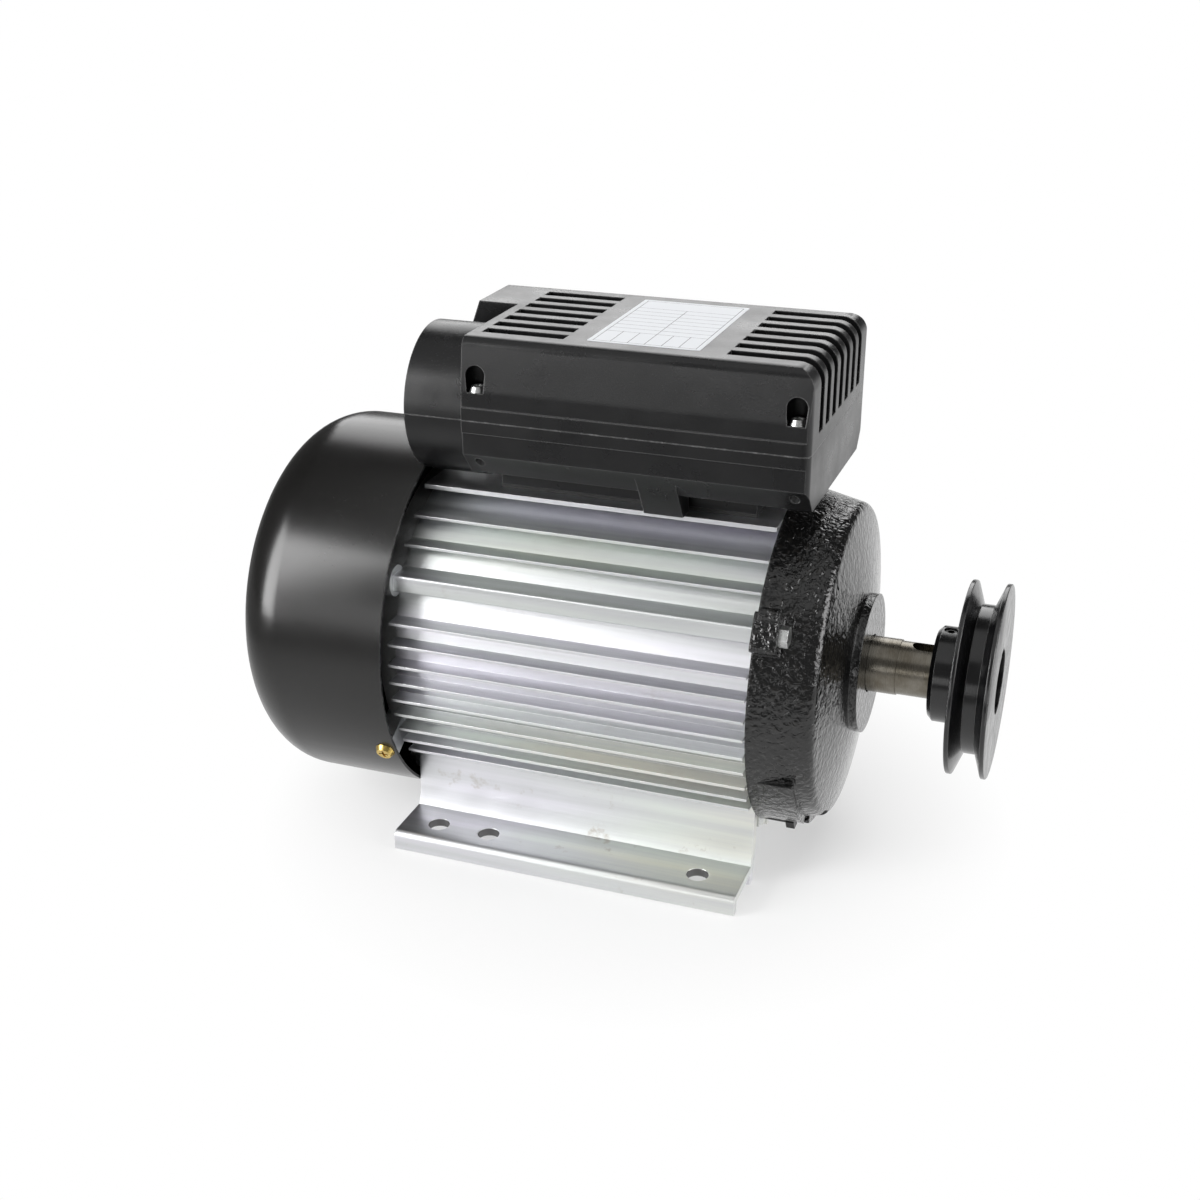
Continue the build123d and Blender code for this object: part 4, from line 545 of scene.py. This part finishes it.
# Rating plate: a thin white foil stuck on the lid between its two banks of slots. It is printed
# with an empty ruled table only.
plate_rear, plate_front = -0.0105, 0.0385
plate_near, plate_far = -0.0385, 0.0390
plate_thickness = 0.00012
plate_corner = 0.0010
plate_sink = 0.00002
corner_steps = 4
lid_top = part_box("terminal_box_lid")[1][2]
outline = []
for x, y, turn in ((plate_front - plate_corner, plate_near + plate_corner, -90),
                   (plate_front - plate_corner, plate_far - plate_corner, 0),
                   (plate_rear + plate_corner, plate_far - plate_corner, 90),
                   (plate_rear + plate_corner, plate_near + plate_corner, 180)):
    for step in range(corner_steps + 1):
        angle = math.radians(turn + 90 * step / corner_steps)
        outline.append((x + plate_corner * math.cos(angle), y + plate_corner * math.sin(angle)))
count = len(outline)
points = [(x, y, lid_top - plate_sink) for x, y in outline]
points += [(x, y, lid_top + plate_thickness) for x, y in outline]
sides = [(i, (i + 1) % count, (i + 1) % count + count, i + count) for i in range(count)]
caps = [tuple(reversed(range(count))), tuple(range(count, 2 * count))]
plate_mesh = bpy.data.meshes.new("rating_plate")
plate_mesh.from_pydata(points, [], sides + caps)
plate = bpy.data.objects.new("rating_plate", plate_mesh)
bpy.context.scene.collection.objects.link(plate)


def ruled_line_group():
    """Mask of thin lines repeated across one coordinate, between two ends of the other."""
    tree, start, end = shader_group(
        "ruled_lines", (("Across", 0.0), ("Along", 0.0), ("First", 0.0), ("Last", 1.0), ("Pitch", 0.005),
                        ("Width", 0.0003), ("From", 0.0), ("To", 1.0)), (("Mask", "NodeSocketFloat"),))
    value = start.outputs
    half_pitch = maths(tree, "MULTIPLY", value["Pitch"], 0.5)
    shifted = maths(tree, "ADD", maths(tree, "SUBTRACT", value["Across"], value["First"]), half_pitch)
    steps = maths(tree, "FLOORED_MODULO", shifted, value["Pitch"])
    off = maths(tree, "ABSOLUTE", maths(tree, "SUBTRACT", steps, half_pitch))
    mask = maths(tree, "LESS_THAN", off, maths(tree, "MULTIPLY", value["Width"], 0.5))
    for low, point, high in ((value["First"], value["Across"], value["Last"]),
                             (value["From"], value["Along"], value["To"])):
        inside = maths(tree, "MULTIPLY",
                       maths(tree, "GREATER_THAN", point, maths(tree, "SUBTRACT", low, value["Width"])),
                       maths(tree, "LESS_THAN", point, maths(tree, "ADD", high, value["Width"])))
        mask = maths(tree, "MULTIPLY", mask, inside)
    tree.links.new(mask, end.inputs["Mask"])
    return tree


ruled_lines = ruled_line_group()
plate_margin = 0.0022
line_width = 0.00036
head_height = 0.013
foot_height = 0.017
table_far = plate_far - plate_margin
table_near = plate_near + plate_margin
table_rear = plate_rear + plate_margin
table_front = plate_front - plate_margin
rows_far = table_far - head_height
rows_near = table_near + foot_height
row_count = 7
column_count = 2
foot_column_count = 6
row_pitch = (rows_far - rows_near) / row_count
column_pitch = (table_front - table_rear) / column_count
foot_pitch = (table_front - table_rear) / foot_column_count
foil, tree, inputs = shader("printed_foil", 0.0, 0.42, (0.65, 0.67, 0.70), Specular_IOR_Level=0.3)
across_x, along_y = object_axis(tree, "X"), object_axis(tree, "Y")
line_sets = (
    (across_x, along_y, table_rear, table_front, table_front - table_rear, table_near, table_far),
    (along_y, across_x, table_near, table_far, table_far - table_near, table_rear, table_front),
    (along_y, across_x, rows_near, rows_far, row_pitch, table_rear, table_front),
    (across_x, along_y, table_rear, table_front, column_pitch, rows_near, rows_far),
    (across_x, along_y, table_rear, table_front, foot_pitch, table_near, rows_near),
)
ink = None
for across, along, first, last, pitch, low, high in line_sets:
    lines = group_node(tree, ruled_lines, First=first, Last=last, Pitch=pitch, Width=line_width,
                       From=low, To=high)
    tree.links.new(across, lines.inputs["Across"])
    tree.links.new(along, lines.inputs["Along"])
    ink = lines.outputs["Mask"] if ink is None else maths(tree, "MAXIMUM", ink, lines.outputs["Mask"])
foil_mottle = noise_texture(tree, 420.0, detail=4.0)
foil_tone = blend_colors(tree, foil_mottle, (0.62, 0.64, 0.67), (0.68, 0.70, 0.73))
faded_ink = maths(tree, "MULTIPLY", ink, noise_between(tree, foil_mottle, 0.85, 1.0))
tree.links.new(blend_colors(tree, faded_ink, foil_tone, (0.03, 0.03, 0.05)), inputs["Base Color"])
tree.links.new(noise_between(tree, foil_mottle, 0.34, 0.50), inputs["Roughness"])
tree.links.new(bump(tree, foil_mottle, 0.00002), inputs["Normal"])
plate_mesh.materials.append(foil)
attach(plate, "frame")

# Pulley: cast and turned iron in gloss black, with fine turning marks that show through the paint.
# Its hub is held on the shaft by a key and set screws, and its rims are painted paler, as rubbing by the
# belt and as painted highlight.
pulley_black = (0.0045, 0.0045, 0.0050)
pulley_paint, tree, inputs = shader("pulley_paint", 0.0, 0.12, pulley_black, Specular_IOR_Level=0.6)
shaft_height = 0.090
off_shaft = maths(tree, "SUBTRACT", object_axis(tree, "Z"), shaft_height)
radius = maths(tree, "SQRT", maths(tree, "ADD", maths(tree, "POWER", object_axis(tree, "Y"), 2.0),
                                   maths(tree, "POWER", off_shaft, 2.0)))
rings = tree.nodes.new("ShaderNodeTexNoise")
rings.noise_dimensions = "1D"
rings.inputs["Scale"].default_value = 2600.0
tree.links.new(maths(tree, "ADD", radius, object_axis(tree, "X")), rings.inputs["W"])
wear_and_highlight = group_node(tree, edge_wear_and_highlight, Radius=0.0006, Break_up=110.0, Amount=0.8)
drips = noise_texture(tree, 120.0, detail=3.0)
# Painted highlight: the rim edges are painted paler, partly as belt wear.
rims_worn_and_highlit = blend_colors(tree, wear_and_highlight.outputs["Mask"], pulley_black, (0.20, 0.20, 0.20))
tree.links.new(rims_worn_and_highlit, inputs["Base Color"])
tree.links.new(noise_between(tree, drips, 0.14, 0.24), inputs["Roughness"])
tree.links.new(bump(tree, rings.outputs["Fac"], 0.00004, wear_and_highlight.outputs["Normal"]), inputs["Normal"])
dress(pulley_paint, "pulley")

# Plated fasteners: clear zinc on the upper bolts and lid screws, yellow zinc on the cowl screws and
# the contacts, black oxide below. The plating is thin and rubbed bright on the driven edges.
def plate_over(name, color, roughness, *members):
    """One plating: a mottled colour that is brighter on worn edges."""
    material, tree, inputs = shader(name, 1.0, roughness, color)
    mottle = noise_texture(tree, 500.0, detail=4.0)
    wear_and_highlight = group_node(tree, edge_wear_and_highlight, Radius=0.0003, Break_up=200.0, Amount=0.6)
    dull = tuple(channel * 0.70 for channel in color)
    bright = tuple(min(1.0, channel * 1.15 + 0.03) for channel in color)
    base = blend_colors(tree, stretch_range(tree, mottle, 0.35, 0.65, 0, 1), color, dull)
    tree.links.new(blend_colors(tree, wear_and_highlight.outputs["Mask"], base, bright), inputs["Base Color"])
    uneven = noise_between(tree, mottle, roughness - 0.06, roughness + 0.12)
    tree.links.new(uneven, inputs["Roughness"])
    tree.links.new(bump(tree, mottle, 0.00003, wear_and_highlight.outputs["Normal"]), inputs["Normal"])
    dress(material, *members)


plate_over("clear_zinc", (0.90, 0.91, 0.90), 0.30, "front_upper_bolts", "rear_bell_bolts", "lid_screws",
           "base_screws", "capacitor_strap", "governor_plate")
plate_over("yellow_zinc", (0.72, 0.52, 0.16), 0.26, "cowl_screws", "terminal_studs", "terminal_nuts",
           "switch_contacts")
plate_over("black_oxide", (0.030, 0.030, 0.030), 0.34, "front_lower_bolts", "set_screws", "wave_washer",
           "fan_clip")
